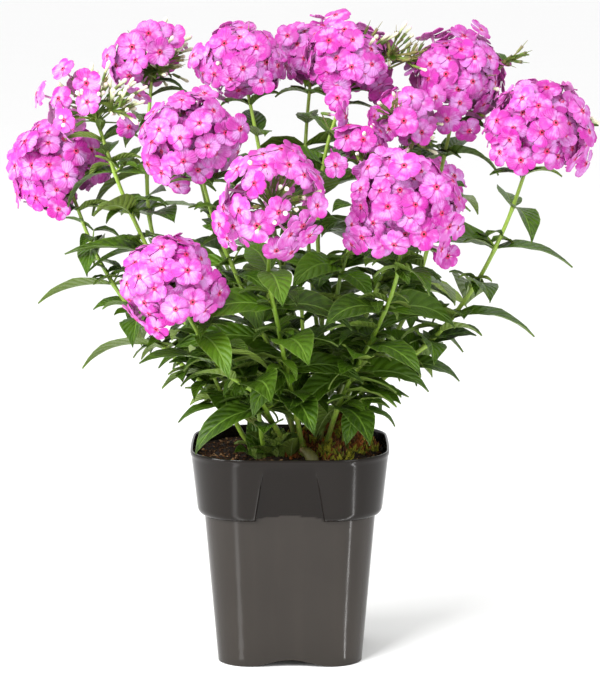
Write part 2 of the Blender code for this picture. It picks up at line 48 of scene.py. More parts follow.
COLLAR_LEVELS = (137, 138, 139, 140, 143, 147, 152, 158, 164, 170, 173, 175.2, 175.9, 176.4, 178.5)
# Share of the panels' painted shade that the collar gets, for the darker reflections it catches
COLLAR_PAINTED_SHADE = 0.92
ARCH_HALF = 36
ARCH_HEIGHT = 6
ARCH_FADE = 14
DRAIN_RADIUS = 4.5
DRAIN_OFFSET = 29
DRAIN_HEIGHTS = (-5, 7, 20)

# The panel in each side of the collar, and its border: the way out from its edge, and shares of depth and lip
PANEL_TOP = (176, 84, 22)
PANEL_FOOT = (129, 73.5, 29.5)
PANEL_EDGE = 0.8
PANEL_BORDER = ((-0.24, 0.3, 1), (0.3, 0, 1), (1.0, 0, 0.4))
PANEL_SLOPE = 0.7
PANEL_LIP = 0.3
PANEL_LIP_FADE = 8
PANEL_SINK = 0.7
PANEL_POINTS = 12
BESIDE_PANEL = (1.8, 3)
BESIDE_POINTS = 8

# The soil and the crown: mounds as x, y, rise and radius, and roughness as depth, wave and layer
SOIL_LEVEL = 172
SOIL_FLOOR = 8.6
SOIL_SWELL = 1.2
SOIL_RIPPLE = 0.8
SOIL_GAP = 0.6
SOIL_MOUNDS = ((14, 0, 9, 36), (50, 4, 11, 24), (-48, 20, 3, 30))
SOIL_ROUGHNESS = ((1.3, 7, 3), (0.9, 2.6, 9))
CRUMBS = 2700
CRUMB_REACH = 78
STRAWS = 90
STRAW_REACH = 72
HOLE_DEPTH = 26
CROWN = (15, 0)
CROWN_MOUNDS = ((50, 2, 24, 24), (30, 12, 16, 22), (10, -6, 9, 24), (36, -28, 10, 16))
CROWN_ROUGHNESS = ((2.2, 5, 1), (1.2, 2.2, 4))
MOSS_TUFTS = 2000
OLD_STUBS = 4
KNOB = ((20, -46, 168), (20, -46, 173), (18, -45, 178), (14, -42, 182), (9, -40, 184))
KNOB_RADII = (3, 5.6, 4.4, 2)
BASAL_LEAVES = 60
BASAL_SPOTS = ((-14, -22, 8), (-22, -26, 8), (-4, -20, 7), (-30, -8, 9))

STEM_FOOT_RADIUS = 2.4
STEM_TOP_RADIUS = 1.5
SHOOT_FOOT_RADIUS = 2.5
SHOOT_TOP_RADIUS = 1.6
JOINT_SWELL = 0.28
STEM_SEAT = 0.3
STEM_POINTS = 6
STEM_FINE_POINTS = 90
STEM_END = 2
STEM_STRAIGHT = 4
CURVE_STEPS = 12

# Leaves, with the draws that place them, as in the solids
BLADE_PROPORTION = 0.205
LEAF_LENGTHS = (62, 74, 78, 77, 72, 64)
LEAF_SPACING = (0, 38, 76, 111, 144, 174)
LOWEST_LEAF = 208
SHOOT_TWIST = 0.6
SHOOT_TOP = 3
SHOOT_BEND = 0.4
SHOOT_SHARES = (0.7, 0.1)
LEAF_SIZE = (0.92, 1.06)
LEAF_SHRINK = 0.3
LEAF_TURN = 0.15
LEAF_TURN_MORE = 0.9
LEAF_PITCH = (6, 34)
LEAF_DIP = 50
LEAF_DROOP = (0.6, 1.4)
LEAF_LEAN = 0.7
LEAF_ROLL = 0.25
LEAF_FOLD = (0.1, 0.3)
LEAF_TRIES = 16

# The form of a blade: the waves of its margin, its sweep to one side, the curl of its tip, and its veins
LEAF_COLUMNS = (1, 0.68, 0.34, 0, -0.34, -0.68, -1)
SMALL_COLUMNS = (1, 0.5, 0, -0.5, -1)
LEAF_THICKNESS = 0.5
LEAF_WIDTHS = (0.94, 1.08)
LEAF_SWAY = 0.035
LEAF_WAVE = (0.03, 0.09)
LEAF_BEATS = (2.2, 3.8)
LEAF_CURL = (-0.5, 1.0)
SIDE_VEINS = 9
VEIN_CROWDING = 0.85
VEIN_SLANT = 1.9
QUILT_DEPTH = 0.48
RIB_DEPTH = 0.45

# Leaves that only the scene has. Small ones by kind: pitch in degrees, length, droop, roll, fold and
# freshness, each a number or a range, then half the width as a share of the length, and rows of points
SAME_TIP = 0.2
LOW_LEAF = 340
SIDE_SHOOT_SHARES = (0.85, 0.45)
TWIG_LENGTH = 18
INNER_LEAVES = 6
INNER_PLACE = (62, 190)
UPPER_START = 15
UPPER_SPACING = 27
UPPER_LENGTH = 34
UPPER_GROWTH = 12
BUNCH_LEAVES = 5
SMALL_LEAVES = {
    "basal": ((50, 85), (14, 34), (0.3, 1.3), (-0.6, 0.6), (0.1, 0.4), (0, 0.35), 0.27, 10),
    "twig": ((0, 50), (26, 42), (0.6, 1.5), (-0.5, 0.5), (0.1, 0.35), (0, 0.5), BLADE_PROPORTION, 10),
    "bract": ((15, 50), (18, 34), (0.5, 1.2), (-0.3, 0.3), 0.25, (0, 0.5), 0.14, 10),
    "upper": ((15, 50), UPPER_LENGTH, (0.5, 1.2), (-0.4, 0.4), (0.1, 0.3), (0, 0.2), 0.23, 11),
    "inner": ((5, 50), (36, 60), (0.5, 1.2), (-0.5, 0.5), (0.1, 0.3), 0, 0.25, 10),
    "bunch": ((0, 60), (12, 24), (0.5, 1.2), (-0.5, 0.5), 0.25, (0, 0.4), 0.18, 10),
}

# Flower heads: reach is a share of the head's radius, and a clump is where florets stand out or back together
DENSE_CORE = 0.6
LOOSE_CORE = 0.42
CORE_FOOT = 0.85
LOBES = 3.4
LOBE_PHASES = Vector((7, 3, 5))
LOBE_DEPTH = 0.09
SPREAD = math.radians(122)
DENSE_REACH = (0.82, 0.99)
LOOSE_REACH = (0.72, 1.06)
INNER_REACH = (0.66, 0.78)
FRONT_REACH = 0.88
BUD_REACH = (0.55, 0.95)
FLORET_RADIUS = 12
FLORET_SIZE = (0.9, 1.17)
FLORET_TILT = 0.36
FLORET_STRAY = 0.1
FLORET_VARIANTS = 8
STRAY_SHARE = 0.1
STRAY_REACH = 1.1
CLUMPS = 1.9
CLUMP_DEPTH = 0.22
CLUMP_MOST = 0.04
TO_LIGHT = Vector((0, -0.38, 0.15))
CALYX_PLACE = 1.1

# Half a petal's angle at each distance from the eye, and the same with fewer points for florets further in
FINE_PETAL = ((0.1, 0.62), (0.26, 0.6), (0.6, 0.7), (0.84, 0.59), (0.95, 0.4), (1.0, 0.16))
PLAIN_PETAL = ((0.1, 0.62), (0.45, 0.68), (0.8, 0.62), (1.0, 0.22))
PETAL_THICKNESS = 0.026

# Rings of a floret's tube: height, radius, place along a petal, and whether it is tube or eye
TUBE = ((-1.45, 0.06, 0.5, 1), (-0.7, 0.075, 0.5, 1), (-0.08, 0.1, 0.5, 1), (0.035, 0.135, 0.15, 0),
        (0.05, 0.09, 0.12, 0), (-0.03, 0.05, 0.0, 0))
TUBE_SIDES = 7

# Rings of a calyx: height, radius, length of its teeth, and how far up it is
CALYX = ((-8.5, 0.8, 0, 0), (-6.5, 1.4, 0, 0.3), (-2.5, 1.5, 0, 0.7), (-0.8, 1.75, 1.9, 1),
         (-2, 0.9, 0.2, 0.6))
CALYX_SIDES = 10

# A closed bud's radius at each share of its length
BUD_SHARES = (0, 0.3, 0.6, 0.8, 0.93, 1)
BUD_RADII = (0.8, 1.0, 1.5, 1.9, 1.3, 0.25)

# Camera, worked out from the pot's rim and foot in the photograph, whose frame is 600 x 683 pixels
CAMERA_PLACE = (0.0086, -2.4, 0.634)
CAMERA_PITCH = math.radians(8.62)
CAMERA_LENS = 149.5

# Lamps in metres: name, place, what it points at, size and power
LAMPS = (
    ("key", (-0.9, -1.7, 1.8), (0, 0, 0.35), (0.8, 0.8), 58),
    ("fill", (1.3, -1.5, 1.0), (0, 0, 0.25), (1.0, 1.4), 10),
    ("side", (-1.7, -0.8, 0.8), (-0.15, 0, 0.4), (0.8, 0.8), 28),
)

# Narrow lights on the floor: name, foot, degrees round from the front, width and strength. Their parts:
# near and far end, and shares of the width and of the strength
FLOOR_LIGHTS = (
    ("strip_right", (0.05, -0.06), 51, 0.016, 25),
    ("strip_left", (-0.042, -0.062), -29, 0.07, 3.8),
)
STRIP_PARTS = ((0.008, 0.03, 0.12, 1), (0.03, 0.08, 0.25, 1), (0.08, 0.18, 0.45, 1), (0.18, 0.32, 0.75, 1),
               (0.32, 0.43, 1, 1), (0.43, 0.6, 1.2, 0.35))


class Stem:
    """One flowering stem: where it leaves the soil, where it passes, and the head that it carries."""

    def __init__(self, name, foot, ring, via, head, radius, florets, face, first=40, pairs=5,
                 loose=False, buds=0, spent=0, bud_side=(0, -1, 0.3)):
        angle = math.radians(foot)
        self.name = name
        self.foot = Vector((CROWN[0] + ring * math.cos(angle), CROWN[1] + ring * math.sin(angle), 0))
        self.via = [Vector(point) for point in via]
        self.head = Vector(head)
        self.radius = radius
        self.florets = florets
        self.face = math.radians(face)
        self.first = first
        self.pairs = pairs
        self.loose = loose
        self.buds = buds
        self.spent = spent
        self.bud_side = Vector(bud_side).normalized()
        self.axis = (self.head - self.via[-1]).normalized()
        self.core = radius * (LOOSE_CORE if loose else DENSE_CORE)
        self.seat = self.head - self.axis * self.core * CORE_FOOT


STEMS = (
    Stem("left", 162, 30, ((-92, 28, 244), (-144, 42, 299), (-171, 53, 344), (-186, 60, 383)),
         (-200, 66, 411), 45, 50, 0, 48),
    Stem("spray", -172, 30, ((-85, -2, 280), (-129, -1, 368), (-145, -1, 405), (-158, 0, 440)),
         (-166, 0, 470), 36, 5, 70, 44, 6, True, 26, 4, (0.7, -0.7, -0.1)),
    Stem("top_left", 134, 30, ((-74, 45, 265), (-121, 67, 356), (-126, 79, 410), (-121, 90, 468)),
         (-122, 98, 502), 37, 14, 20, 44, 6, True, 20, 10, (0.6, -0.7, -0.2)),
    Stem("back_left", 110, 30, ((-25, 80, 250), (-59, 123, 325), (-80, 148, 384)),
         (-87, 168, 420), 38, 36, 60),
    Stem("centre_left", -148, 13, ((-13, -25, 258), (-42, -39, 326), (-60, -48, 370), (-70, -54, 405)),
         (-80, -60, 446), 43, 47, 10, 50),
    Stem("lower_left", -128, 30, ((-28, -75, 237), (-55, -95, 260), (-69, -117, 286), (-81, -132, 309)),
         (-97, -148, 341), 39, 41, 25, 38, 4),
    Stem("front_centre", -98, 30, ((3, -63, 230), (-5, -93, 273), (-12, -123, 317), (-17, -144, 352)),
         (-12, -168, 405), 45, 20, 15, 46, 5, True, 16, 6, (0.1, -1, 0)),
    Stem("top_centre_left", 133, 12, ((9, 22, 251), (-9, 36, 336), (-24, 49, 417), (-34, 55, 462)),
         (-40, 60, 502), 37, 35, 35, 84, buds=6, spent=2, bud_side=(-0.1, -0.8, 0.7)),
    Stem("top_centre_a", 84, 30, ((26, 55, 245), (17, 82, 330), (13, 105, 412), (17, 120, 470)),
         (19, 130, 506), 34, 28, 80, 62),
    Stem("top_centre_b", 44, 13, ((28, 20, 268), (24, 31, 371), (31, 37, 431), (42, 40, 462)),
         (53, 42, 504), 40, 40, 65, 90, buds=8, spent=12, bud_side=(0.9, -0.3, 0.6)),
    Stem("mid", -40, 15, ((34, -20, 265), (42, -23, 326), (57, -27, 373), (62, -30, 405)),
         (59, -32, 437), 25, 11, 40, 56, 5, True, 6, 4),
    Stem("mid_right", 8, 15, ((64, 4, 289), (92, 0, 366), (98, 0, 420)),
         (98, -2, 458), 29, 14, 75, 60, 5, True, 6, 8, (0.6, -0.6, 0.5)),
    Stem("centre_right", -58, 30, ((45, -54, 236), (58, -68, 263), (78, -91, 308), (90, -110, 350)),
         (93, -128, 400), 44, 51, 30, 38),
    Stem("right", -12, 30, ((68, -18, 230), (106, -24, 261), (144, -38, 305), (162, -48, 340),
                            (184, -60, 388)),
         (205, -68, 455), 44, 50, 5, 44, 6),
    Stem("top_right", 18, 30, ((91, 25, 272), (116, 35, 334), (130, 46, 409), (138, 50, 444)),
         (147, 52, 490), 44, 49, 50, 44, 6, buds=4, spent=10, bud_side=(0.9, -0.5, -0.1)),
    Stem("back_right", 54, 30, ((71, 88, 249), (98, 124, 298), (111, 146, 340)),
         (118, 166, 384), 38, 36, 20),
)

# Leafy shoots with no flower yet: foot, tip, number of leaf pairs, their spacing, length of the longest leaf
SHOOTS = (
    ("shoot_front", (-22, -30), (-30, -44, 252), 3, 17, 56),
    ("shoot_left", (-34, -6), (-66, -20, 246), 3, 16, 58),
    ("shoot_middle", (15, 0), (10, -38, 306), 4, 28, 62),
    ("shoot_right", (44, -21), (70, -40, 262), 3, 24, 60),
)

# Bunches of buds and spent calyxes beside the florets of a head: the middle, how far they spread, their
# number, and the share of them that are spent
BUD_BUNCHES = {
    "top_centre_b": (((97, 46, 520), 13, 22, 0.7), ((110, 44, 512), 11, 12, 0.8)),
    "top_right": (((192, 34, 512), 9, 8, 0.6),),
    "mid_right": (((84, -34, 470), 12, 12, 0.7), ((110, -22, 440), 10, 8, 0.5)),
    "right": (((246, -58, 458), 6, 6, 0.4),),
    "spray": (((-140, -14, 476), 13, 22, 0.1), ((-166, -10, 484), 11, 10, 0.2)),
    "top_left": (((-108, 84, 506), 13, 14, 0.2),),
}

# Florets on the front of loose heads: how far to the right of the head's middle and above it
FRONT_FLORETS = {
    "front_centre": ((-7, 29), (12, 30), (24, 22), (-15, 15), (6, 44), (16, 42), (-8, 40), (-40, -2),
                     (-27, -6), (-32, -18), (-37, -27), (-13, -18), (4, -8), (34, -2), (13, -25), (23, -18),
                     (2, -37), (14, -38)),
    "top_left": ((9, 7), (-12, 0), (-18, -13), (-15, 12), (-1, 24), (18, 22), (-30, -3), (-34, 10),
                 (-10, -29), (6, 28), (-7, 30)),
    "top_centre_left": ((-3, 33), (-16, 17), (11, 13), (-3, -6), (-25, -9), (-4, -23), (-44, 9), (-37, -3),
                        (-29, 9)),
    "centre_left": ((10, 40), (18, 24), (-11, 37)),
    "mid_right": ((-8, 12), (10, 14), (16, -4)),
}

# How many pairs of smaller leaves a stem has near its top
UPPER_PAIRS = {"left": 1, "spray": 1, "centre_left": 1, "centre_right": 1, "right": 1, "back_left": 1,
               "back_right": 1, "top_left": 2, "mid": 2, "mid_right": 2, "top_right": 2,
               "top_centre_left": 4, "top_centre_a": 4, "top_centre_b": 4}

# Florets that stand apart from the others of a head: the floret's place, and where it faces
SINGLE_FLORETS = {
    "mid": (((40, -12, 479), (-0.2, -0.9, 0.4)), ((47, -22, 464), (0.9, -0.4, -0.1)),
            ((61, -52, 447), (-0.1, -0.95, 0.3)), ((38, -52, 426), (-0.5, -0.85, -0.1)),
            ((62, -60, 423), (0.3, -0.8, -0.5))),
    "mid_right": (((101, -24, 480), (0.1, -0.9, 0.4)), ((95, -42, 462), (-0.3, -0.95, 0.1)),
                  ((110, -36, 452), (0.4, -0.9, -0.1))),
    "top_right": (((133, 0, 460), (-0.3, -0.9, -0.3)), ((152, 4, 450), (0.2, -0.9, -0.4)),
                  ((124, 14, 478), (-0.6, -0.8, 0.1)), ((118, 26, 493), (-0.8, -0.6, 0.3)),
                  ((186, 50, 470), (0.7, -0.7, -0.2))),
    "centre_left": (((-93, -52, 409), (-0.3, -0.9, -0.4)),),
    "left": (((-199, 28, 381), (-0.1, -0.95, -0.3)), ((-219, 36, 390), (-0.5, -0.8, -0.2)),
             ((-232, 46, 399), (-0.8, -0.55, -0.1)), ((-186, 36, 450), (-0.1, -0.9, 0.45))),
    "centre_right": (((77, -108, 437), (0, -0.75, 0.65)), ((76, -152, 372), (0.5, -0.85, -0.2)),
                     ((129, -104, 356), (0.2, -1, 0.1)), ((50, -140, 370), (-0.8, -0.5, -0.5)),
                     ((58, -150, 377), (-0.5, -0.9, -0.4))),
    "spray": (((-191, -5, 503), (-0.5, -0.6, 0.6)), ((-170, -24, 492), (0, -0.9, 0.4)),
              ((-194, -18, 479), (-0.6, -0.8, 0.2)), ((-189, -24, 461), (-0.5, -0.85, -0.1)),
              ((-169, -32, 477), (-0.1, -1, 0.1)), ((-135, -16, 455), (0.5, -0.85, -0.1)),
              ((-214, 0, 482), (-0.95, -0.2, 0.3))),
    "right": (((246, -50, 427), (0.8, -0.6, -0.3)),),
    "lower_left": (((-64, -158, 342), (0.6, -0.8, 0.1)), ((-72, -166, 327), (0.4, -0.9, -0.1)),
                   ((-56, -150, 332), (0.8, -0.6, -0.1))),
}


# The plant's frame, as in the solids


def soil_height(x, y):
    """Height of the soil: nearly flat, a little uneven, with mounds at the crown of the plant."""
    height = SOIL_LEVEL + SOIL_SWELL * math.sin(x / 9 + 1) * math.cos(y / 11)
    height += SOIL_RIPPLE * math.sin(x / 5 - y / 7)
    for mound_x, mound_y, rise, radius in SOIL_MOUNDS:
        height += rise * math.exp(-((x - mound_x) ** 2 + (y - mound_y) ** 2) / radius ** 2)
    return height


def smooth_path(points, count):
    """Points at even steps along one smooth curve through the given ones."""
    padded = [2 * points[0] - points[1], *points, 2 * points[-1] - points[-2]]
    fine = []
    for a, b, c, d in zip(padded, padded[1:], padded[2:], padded[3:]):
        for step in range(CURVE_STEPS):
            t = step / CURVE_STEPS
            fine.append(0.5 * ((2 * b) + (c - a) * t + (2 * a - 5 * b + 4 * c - d) * t * t
                               + (3 * b - a - 3 * c + d) * t ** 3))
    fine.append(points[-1])
    lengths = lengths_of(fine)
    return [along(fine, lengths, lengths[-1] * step / (count - 1)) for step in range(count)]


def lengths_of(points):
    """The length of a line up to each of its points."""
    lengths = [0.0]
    for here, there in zip(points, points[1:]):
        lengths.append(lengths[-1] + (there - here).length)
    return lengths


def along(points, lengths, distance):
    """The point this far along a line, which has these lengths up to its points."""
    for number in range(1, len(points)):
        if lengths[number] >= distance:
            span = lengths[number] - lengths[number - 1]
            return points[number - 1].lerp(points[number], (distance - lengths[number - 1]) / span)
    return points[-1].copy()


def stem_path(foot, via, seat):
    """The line of a stem: straight down in its hole, then by way of its points to its seat under the head."""
    ground = soil_height(foot.x, foot.y)
    buried = Vector((foot.x, foot.y, ground - HOLE_DEPTH + STEM_END))
    free = Vector((foot.x, foot.y, ground + STEM_STRAIGHT))
    return [buried, *smooth_path([free, *via, seat], STEM_POINTS)]


def leaf_bases(path, first, spacing, lowest):
    """Where the leaf pairs leave a stem, from the top down."""
    downward = list(reversed(path[1:]))
    lengths = lengths_of(downward)
    spots = [along(downward, lengths, first + gap) for gap in spacing if first + gap < lengths[-1]]
    return [spot for spot in spots if spot.z > lowest]


def shoot_path(foot, tip):
    """The line of a flowerless shoot, which rises nearly straight to its tip."""
    foot = Vector((*foot, 0))
    ground = Vector((foot.x, foot.y, soil_height(foot.x, foot.y)))
    return stem_path(foot, [ground.lerp(Vector(tip), SHOOT_BEND)], Vector(tip))


def shoot_pairs(path, count, spacing, longest):
    """Leaf pairs of a flowerless shoot, close together and smaller towards its tip."""
    spots = leaf_bases(path, SHOOT_TOP, [spacing * number for number in range(count)], 0)
    smallest, more = SHOOT_SHARES
    return [(spot, math.pi / 2 * number + SHOOT_TWIST, longest * (smallest + more * number))
            for number, spot in enumerate(spots)]


def head_direction(number, count, axis, spin):
    """Directions spread evenly over a head, from its top to past its widest level."""
    polar = math.acos(1 - (1 - math.cos(SPREAD)) * (number + 0.5) / count)
    turn = spin + number * math.pi * (3 - math.sqrt(5))
    local = Vector((math.sin(polar) * math.cos(turn), math.sin(polar) * math.sin(turn), math.cos(polar)))
    return axis.to_track_quat("Z", "Y") @ local


def head_reach(stem, direction):
    """How far out a head's surface is in this direction: a ball with shallow lobes."""
    x, y, z = direction * LOBES + LOBE_PHASES * stem.face
    return stem.radius * (1 + LOBE_DEPTH * (math.sin(x) * math.sin(y) + math.sin(z) / 2))


class Leaf:
    """One leaf: its base, its heading, how steeply it starts and bends, and how it rolls and folds."""

    def __init__(self, base, azimuth, pitch, length, droop, roll, fold):
        self.base = base
        self.pitch = pitch
        self.length = length
        self.droop = droop
        self.roll = roll
        self.fold = fold
        self.forward = Vector((math.cos(azimuth), math.sin(azimuth), 0))
        self.left = Vector((-math.sin(azimuth), math.cos(azimuth), 0))

    def spine(self, t):
        run = (math.sin(self.pitch) - math.sin(self.pitch - self.droop * t)) / self.droop
        rise = (math.cos(self.pitch - self.droop * t) - math.cos(self.pitch)) / self.droop
        return self.base + self.length * (self.forward * run + Vector((0, 0, rise)))


def placed_leaf(base, azimuth, length, draw, tips):
    """The leaf of a few tries whose tip is where the solid has one, or None."""
    outward = Vector((base.x, base.y)).normalized()
    for attempt in range(LEAF_TRIES):
        slack = attempt / LEAF_TRIES
        size = length * draw.uniform(*LEAF_SIZE) * (1 - LEAF_SHRINK * slack)
        turn = azimuth + draw.uniform(-1, 1) * (LEAF_TURN + LEAF_TURN_MORE * slack)
        pitch = math.radians(draw.uniform(*LEAF_PITCH) - LEAF_DIP * slack * draw.random())
        lean = outward.dot(Vector((-math.sin(turn), math.cos(turn))))
        roll = -LEAF_LEAN * lean + draw.uniform(-LEAF_ROLL, LEAF_ROLL)
        leaf = Leaf(base, turn, pitch, size, draw.uniform(*LEAF_DROOP), roll, draw.uniform(*LEAF_FOLD))
        if tips.find(leaf.spine(1) * MM)[2] < SAME_TIP * MM:
            return leaf
    return None


# Meshes


class Piece:
    """Points in millimetres, triangles and their values, gathered for one object."""

    def __init__(self):
        self.points = []
        self.faces = []
        self.slots = []
        self.uv = []
        self.tone = []
        self.count = 0

    def add(self, points, faces, uv=None, slot=0, tone=(0.5, 0, 0)):
        """Adds one closed shape, with its faces turned outwards."""
        points = np.asarray(points, float)
        corners = points[faces] - points.mean(axis=0)
        if np.linalg.det(corners).sum() < 0:
            faces = faces[:, ::-1]
        self.points.append(points)
        self.faces.append(faces + self.count)
        self.slots.append(np.full(len(faces), slot))
        self.uv.append(np.zeros((len(points), 2)) if uv is None else uv)
        self.tone.append(np.broadcast_to(tone, (len(points), 3)))
        self.count += len(points)

    def build(self, name, finishes, sharp=50):
        """Makes the object, smooth but for edges sharper than this many degrees."""
        points = np.concatenate(self.points) * MM
        faces = np.concatenate(self.faces)
        mesh = bpy.data.meshes.new(name)
        mesh.from_pydata(points, [], faces)
        mesh.polygons.foreach_set("material_index", np.concatenate(self.slots).astype(np.int32))
        uv = np.concatenate(self.uv)[faces.ravel()]
        mesh.uv_layers.new(name="Shape").data.foreach_set("uv", uv.astype(np.float32).ravel())
        tone = np.ones((len(points), 4))
        tone[:, :3] = np.concatenate(self.tone)
        values = mesh.attributes.new("Tone", "FLOAT_COLOR", "POINT")
        values.data.foreach_set("color", tone.astype(np.float32).ravel())
        mesh.validate()
        mesh.shade_smooth()
        mesh.set_sharp_from_angle(angle=math.radians(sharp))
        for finish in finishes:
            mesh.materials.append(finish)
        made = bpy.data.objects.new(name, mesh)
        bpy.context.scene.collection.objects.link(made)
        return made


def grid_faces(number):
    """Triangles over a grid of point numbers."""
    a, b, c, d = number[:-1, :-1], number[:-1, 1:], number[1:, 1:], number[1:, :-1]
    first = np.stack([a, b, c], axis=-1).reshape(-1, 3)
    second = np.stack([a, c, d], axis=-1).reshape(-1, 3)
    return np.concatenate([first, second])


def shell(top, under, uv):
    """A closed sheet from two grids of points, with the values of its upper and lower face."""
    rows, columns, _ = top.shape
    number = np.arange(rows * columns).reshape(rows, columns)
    face = grid_faces(number)
    edge = np.concatenate([number[0, :-1], number[:-1, -1], number[-1, :0:-1], number[:0:-1, 0]])
    after = np.roll(edge, -1)
    below = rows * columns
    rim = np.concatenate([np.stack([edge, edge + below, after + below], axis=-1),
                          np.stack([edge, after + below, after], axis=-1)])
    faces = np.concatenate([face, face[:, ::-1] + below, rim])
    points = np.concatenate([top.reshape(-1, 3), under.reshape(-1, 3)])
    flat = uv.reshape(-1, 2)
    side = np.concatenate([np.zeros(below), np.ones(below)])
    return points, faces, np.concatenate([flat, flat]), side


def skin(rings):
    """A closed skin over rings of equal count, shut at both ends round the middle of the last ring."""
    rings = np.asarray(rings, float)
    count, sides, _ = rings.shape
    number = np.arange(count * sides).reshape(count, sides)
    number = np.concatenate([number, number[:, :1]], axis=1)
    faces = [grid_faces(number)]
    start, end = count * sides, count * sides + 1
    faces.append(np.stack([number[0, 1:], number[0, :-1], np.full(sides, start)], axis=-1))
    faces.append(np.stack([number[-1, :-1], number[-1, 1:], np.full(sides, end)], axis=-1))
    points = np.concatenate([rings.reshape(-1, 3), rings[[0, -1]].mean(axis=1)])
    return points, np.concatenate(faces)


def ring_numbers(count, sides):
    """Which ring each point of a skin is on, its two end points included."""
    return [*np.repeat(np.arange(count), sides), 0, count - 1]


def swept(path, radii, sides):
    """A closed round rod along a line, and how far round and along each of its points is."""
    path = np.array([tuple(point) for point in path], float)
    heading = np.gradient(path, axis=0)
    heading /= np.linalg.norm(heading, axis=1)[:, None]
    across = np.cross(heading[0], (0.3, 0.1, 1) if abs(heading[0][2]) < 0.9 else (1, 0.2, 0))
    rings = []
    for point, direction, radius in zip(path, heading, radii):
        across -= direction * across.dot(direction)
        across /= np.linalg.norm(across)
        other = np.cross(direction, across)
        angles = np.linspace(0, math.tau, sides, endpoint=False)[:, None]
        rings.append(point + radius * (np.cos(angles) * across + np.sin(angles) * other))
    points, faces = skin(rings)
    round_it = np.tile(np.linspace(0, 1, sides, endpoint=False), len(path))
    uv = np.stack([round_it, np.repeat(np.linspace(0, 1, len(path)), sides)], axis=-1)
    return points, faces, np.concatenate([uv, [[0.5, 0], [0.5, 1]]])


def about_z(angle):
    """The matrix of a turn about +Z."""
    c, s = math.cos(angle), math.sin(angle)
    return np.array(((c, -s, 0), (s, c, 0), (0, 0, 1)))


def rotated(points, axis, spin, place):
    """Points turned by a spin about +Z, then with +Z laid on the axis, then moved to their place."""
    turn = np.array(axis.to_track_quat("Z", "Y").to_matrix())
    return points @ (turn @ about_z(spin)).T + np.array(tuple(place))


def jitter(draw, reach):
    """A chance step of up to this reach along each axis."""
    return Vector([draw.uniform(-reach, reach) for _ in range(3)])


def drawn(draw, value):
    """A chance number from a range, or the number itself."""
    return draw.uniform(*value) if isinstance(value, tuple) else value


# Materials


class Graph:
    """One material and short calls that add its nodes. A value is a number, a colour or a socket."""

    def __init__(self, name, roughness, specular=0.5):
        self.material = bpy.data.materials.new(name)
        self.material.use_nodes = True
        self.tree = self.material.node_tree
        self.shader = self.tree.nodes["Principled BSDF"]
        self.shader.inputs["Roughness"].default_value = roughness
        self.shader.inputs["Specular IOR Level"].default_value = specular

    def node(self, kind, **settings):
        """A new node with these settings."""
        made = self.tree.nodes.new(kind)
        for key, value in settings.items():
            setattr(made, key, value)
        return made

    def put(self, socket, value):
        """Links a socket to this one, or sets this one's value."""
        if isinstance(value, bpy.types.NodeSocket):
            self.tree.links.new(value, socket)
        elif isinstance(value, tuple) and len(value) == 3 and socket.type == "RGBA":
            socket.default_value = (*value, 1)
        else:
            socket.default_value = value

    def math(self, operation, *values):
        """The result of this operation on the values."""
        made = self.node("ShaderNodeMath", operation=operation)
        for socket, value in zip(made.inputs, values):
            self.put(socket, value)
        return made.outputs[0]

    def mix(self, share, first, second):
        """The first colour where the share is 0, and the second where it is 1."""
        made = self.node("ShaderNodeMix", data_type="RGBA")
        self.put(made.inputs["Factor"], share)
        self.put(made.inputs[6], first)
        self.put(made.inputs[7], second)
        return made.outputs[2]

    def ramp(self, value, low, high, start=0.0, end=1.0):
        """Start below low, end above high, and a smooth rise between."""
        made = self.node("ShaderNodeMapRange", interpolation_type="SMOOTHSTEP")
        for socket, number in zip(made.inputs, (value, low, high, start, end)):
            self.put(socket, number)
        return made.outputs[0]

    def noise(self, scale, detail=3.0, stretch=(1, 1, 1)):
        """Noise in the object's own space, with this many waves to the metre."""
        place = self.node("ShaderNodeTexCoord").outputs["Object"]
        mapping = self.node("ShaderNodeMapping")
        self.put(mapping.inputs["Vector"], place)
        mapping.inputs["Scale"].default_value = stretch
        made = self.node("ShaderNodeTexNoise")
        self.put(made.inputs["Vector"], mapping.outputs[0])
        made.inputs["Scale"].default_value = scale
        made.inputs["Detail"].default_value = detail
        return made.outputs[0]

    def shape(self):
        """The two shape values: across and along a leaf or petal."""
        parts = self.node("ShaderNodeSeparateXYZ")
        self.put(parts.inputs[0], self.node("ShaderNodeUVMap", uv_map="Shape").outputs[0])
        return parts.outputs[0], parts.outputs[1]

    def off_middle(self, across):
        """How far off the middle line a place is, from 0 to 1."""
        return self.math("ABSOLUTE", self.math("SUBTRACT", self.math("MULTIPLY", across, 2), 1))

    def tone(self):
        """The three tone values: chance, underside and kind."""
        parts = self.node("ShaderNodeSeparateColor")
        self.put(parts.inputs[0], self.node("ShaderNodeAttribute", attribute_name="Tone").outputs[0])
        return parts.outputs[0], parts.outputs[1], parts.outputs[2]

    def bump(self, height, strength, distance):
        """Lets the light fall as if the surface had this relief."""
        made = self.node("ShaderNodeBump")
        made.inputs["Strength"].default_value = strength
        made.inputs["Distance"].default_value = distance
        self.put(made.inputs["Height"], height)
        self.put(self.shader.inputs["Normal"], made.outputs[0])

    def colour(self, value):
        """Sets the base colour."""
        self.put(self.shader.inputs["Base Color"], value)

    def rough(self, value):
        """Sets the roughness."""
        self.put(self.shader.inputs["Roughness"], value)


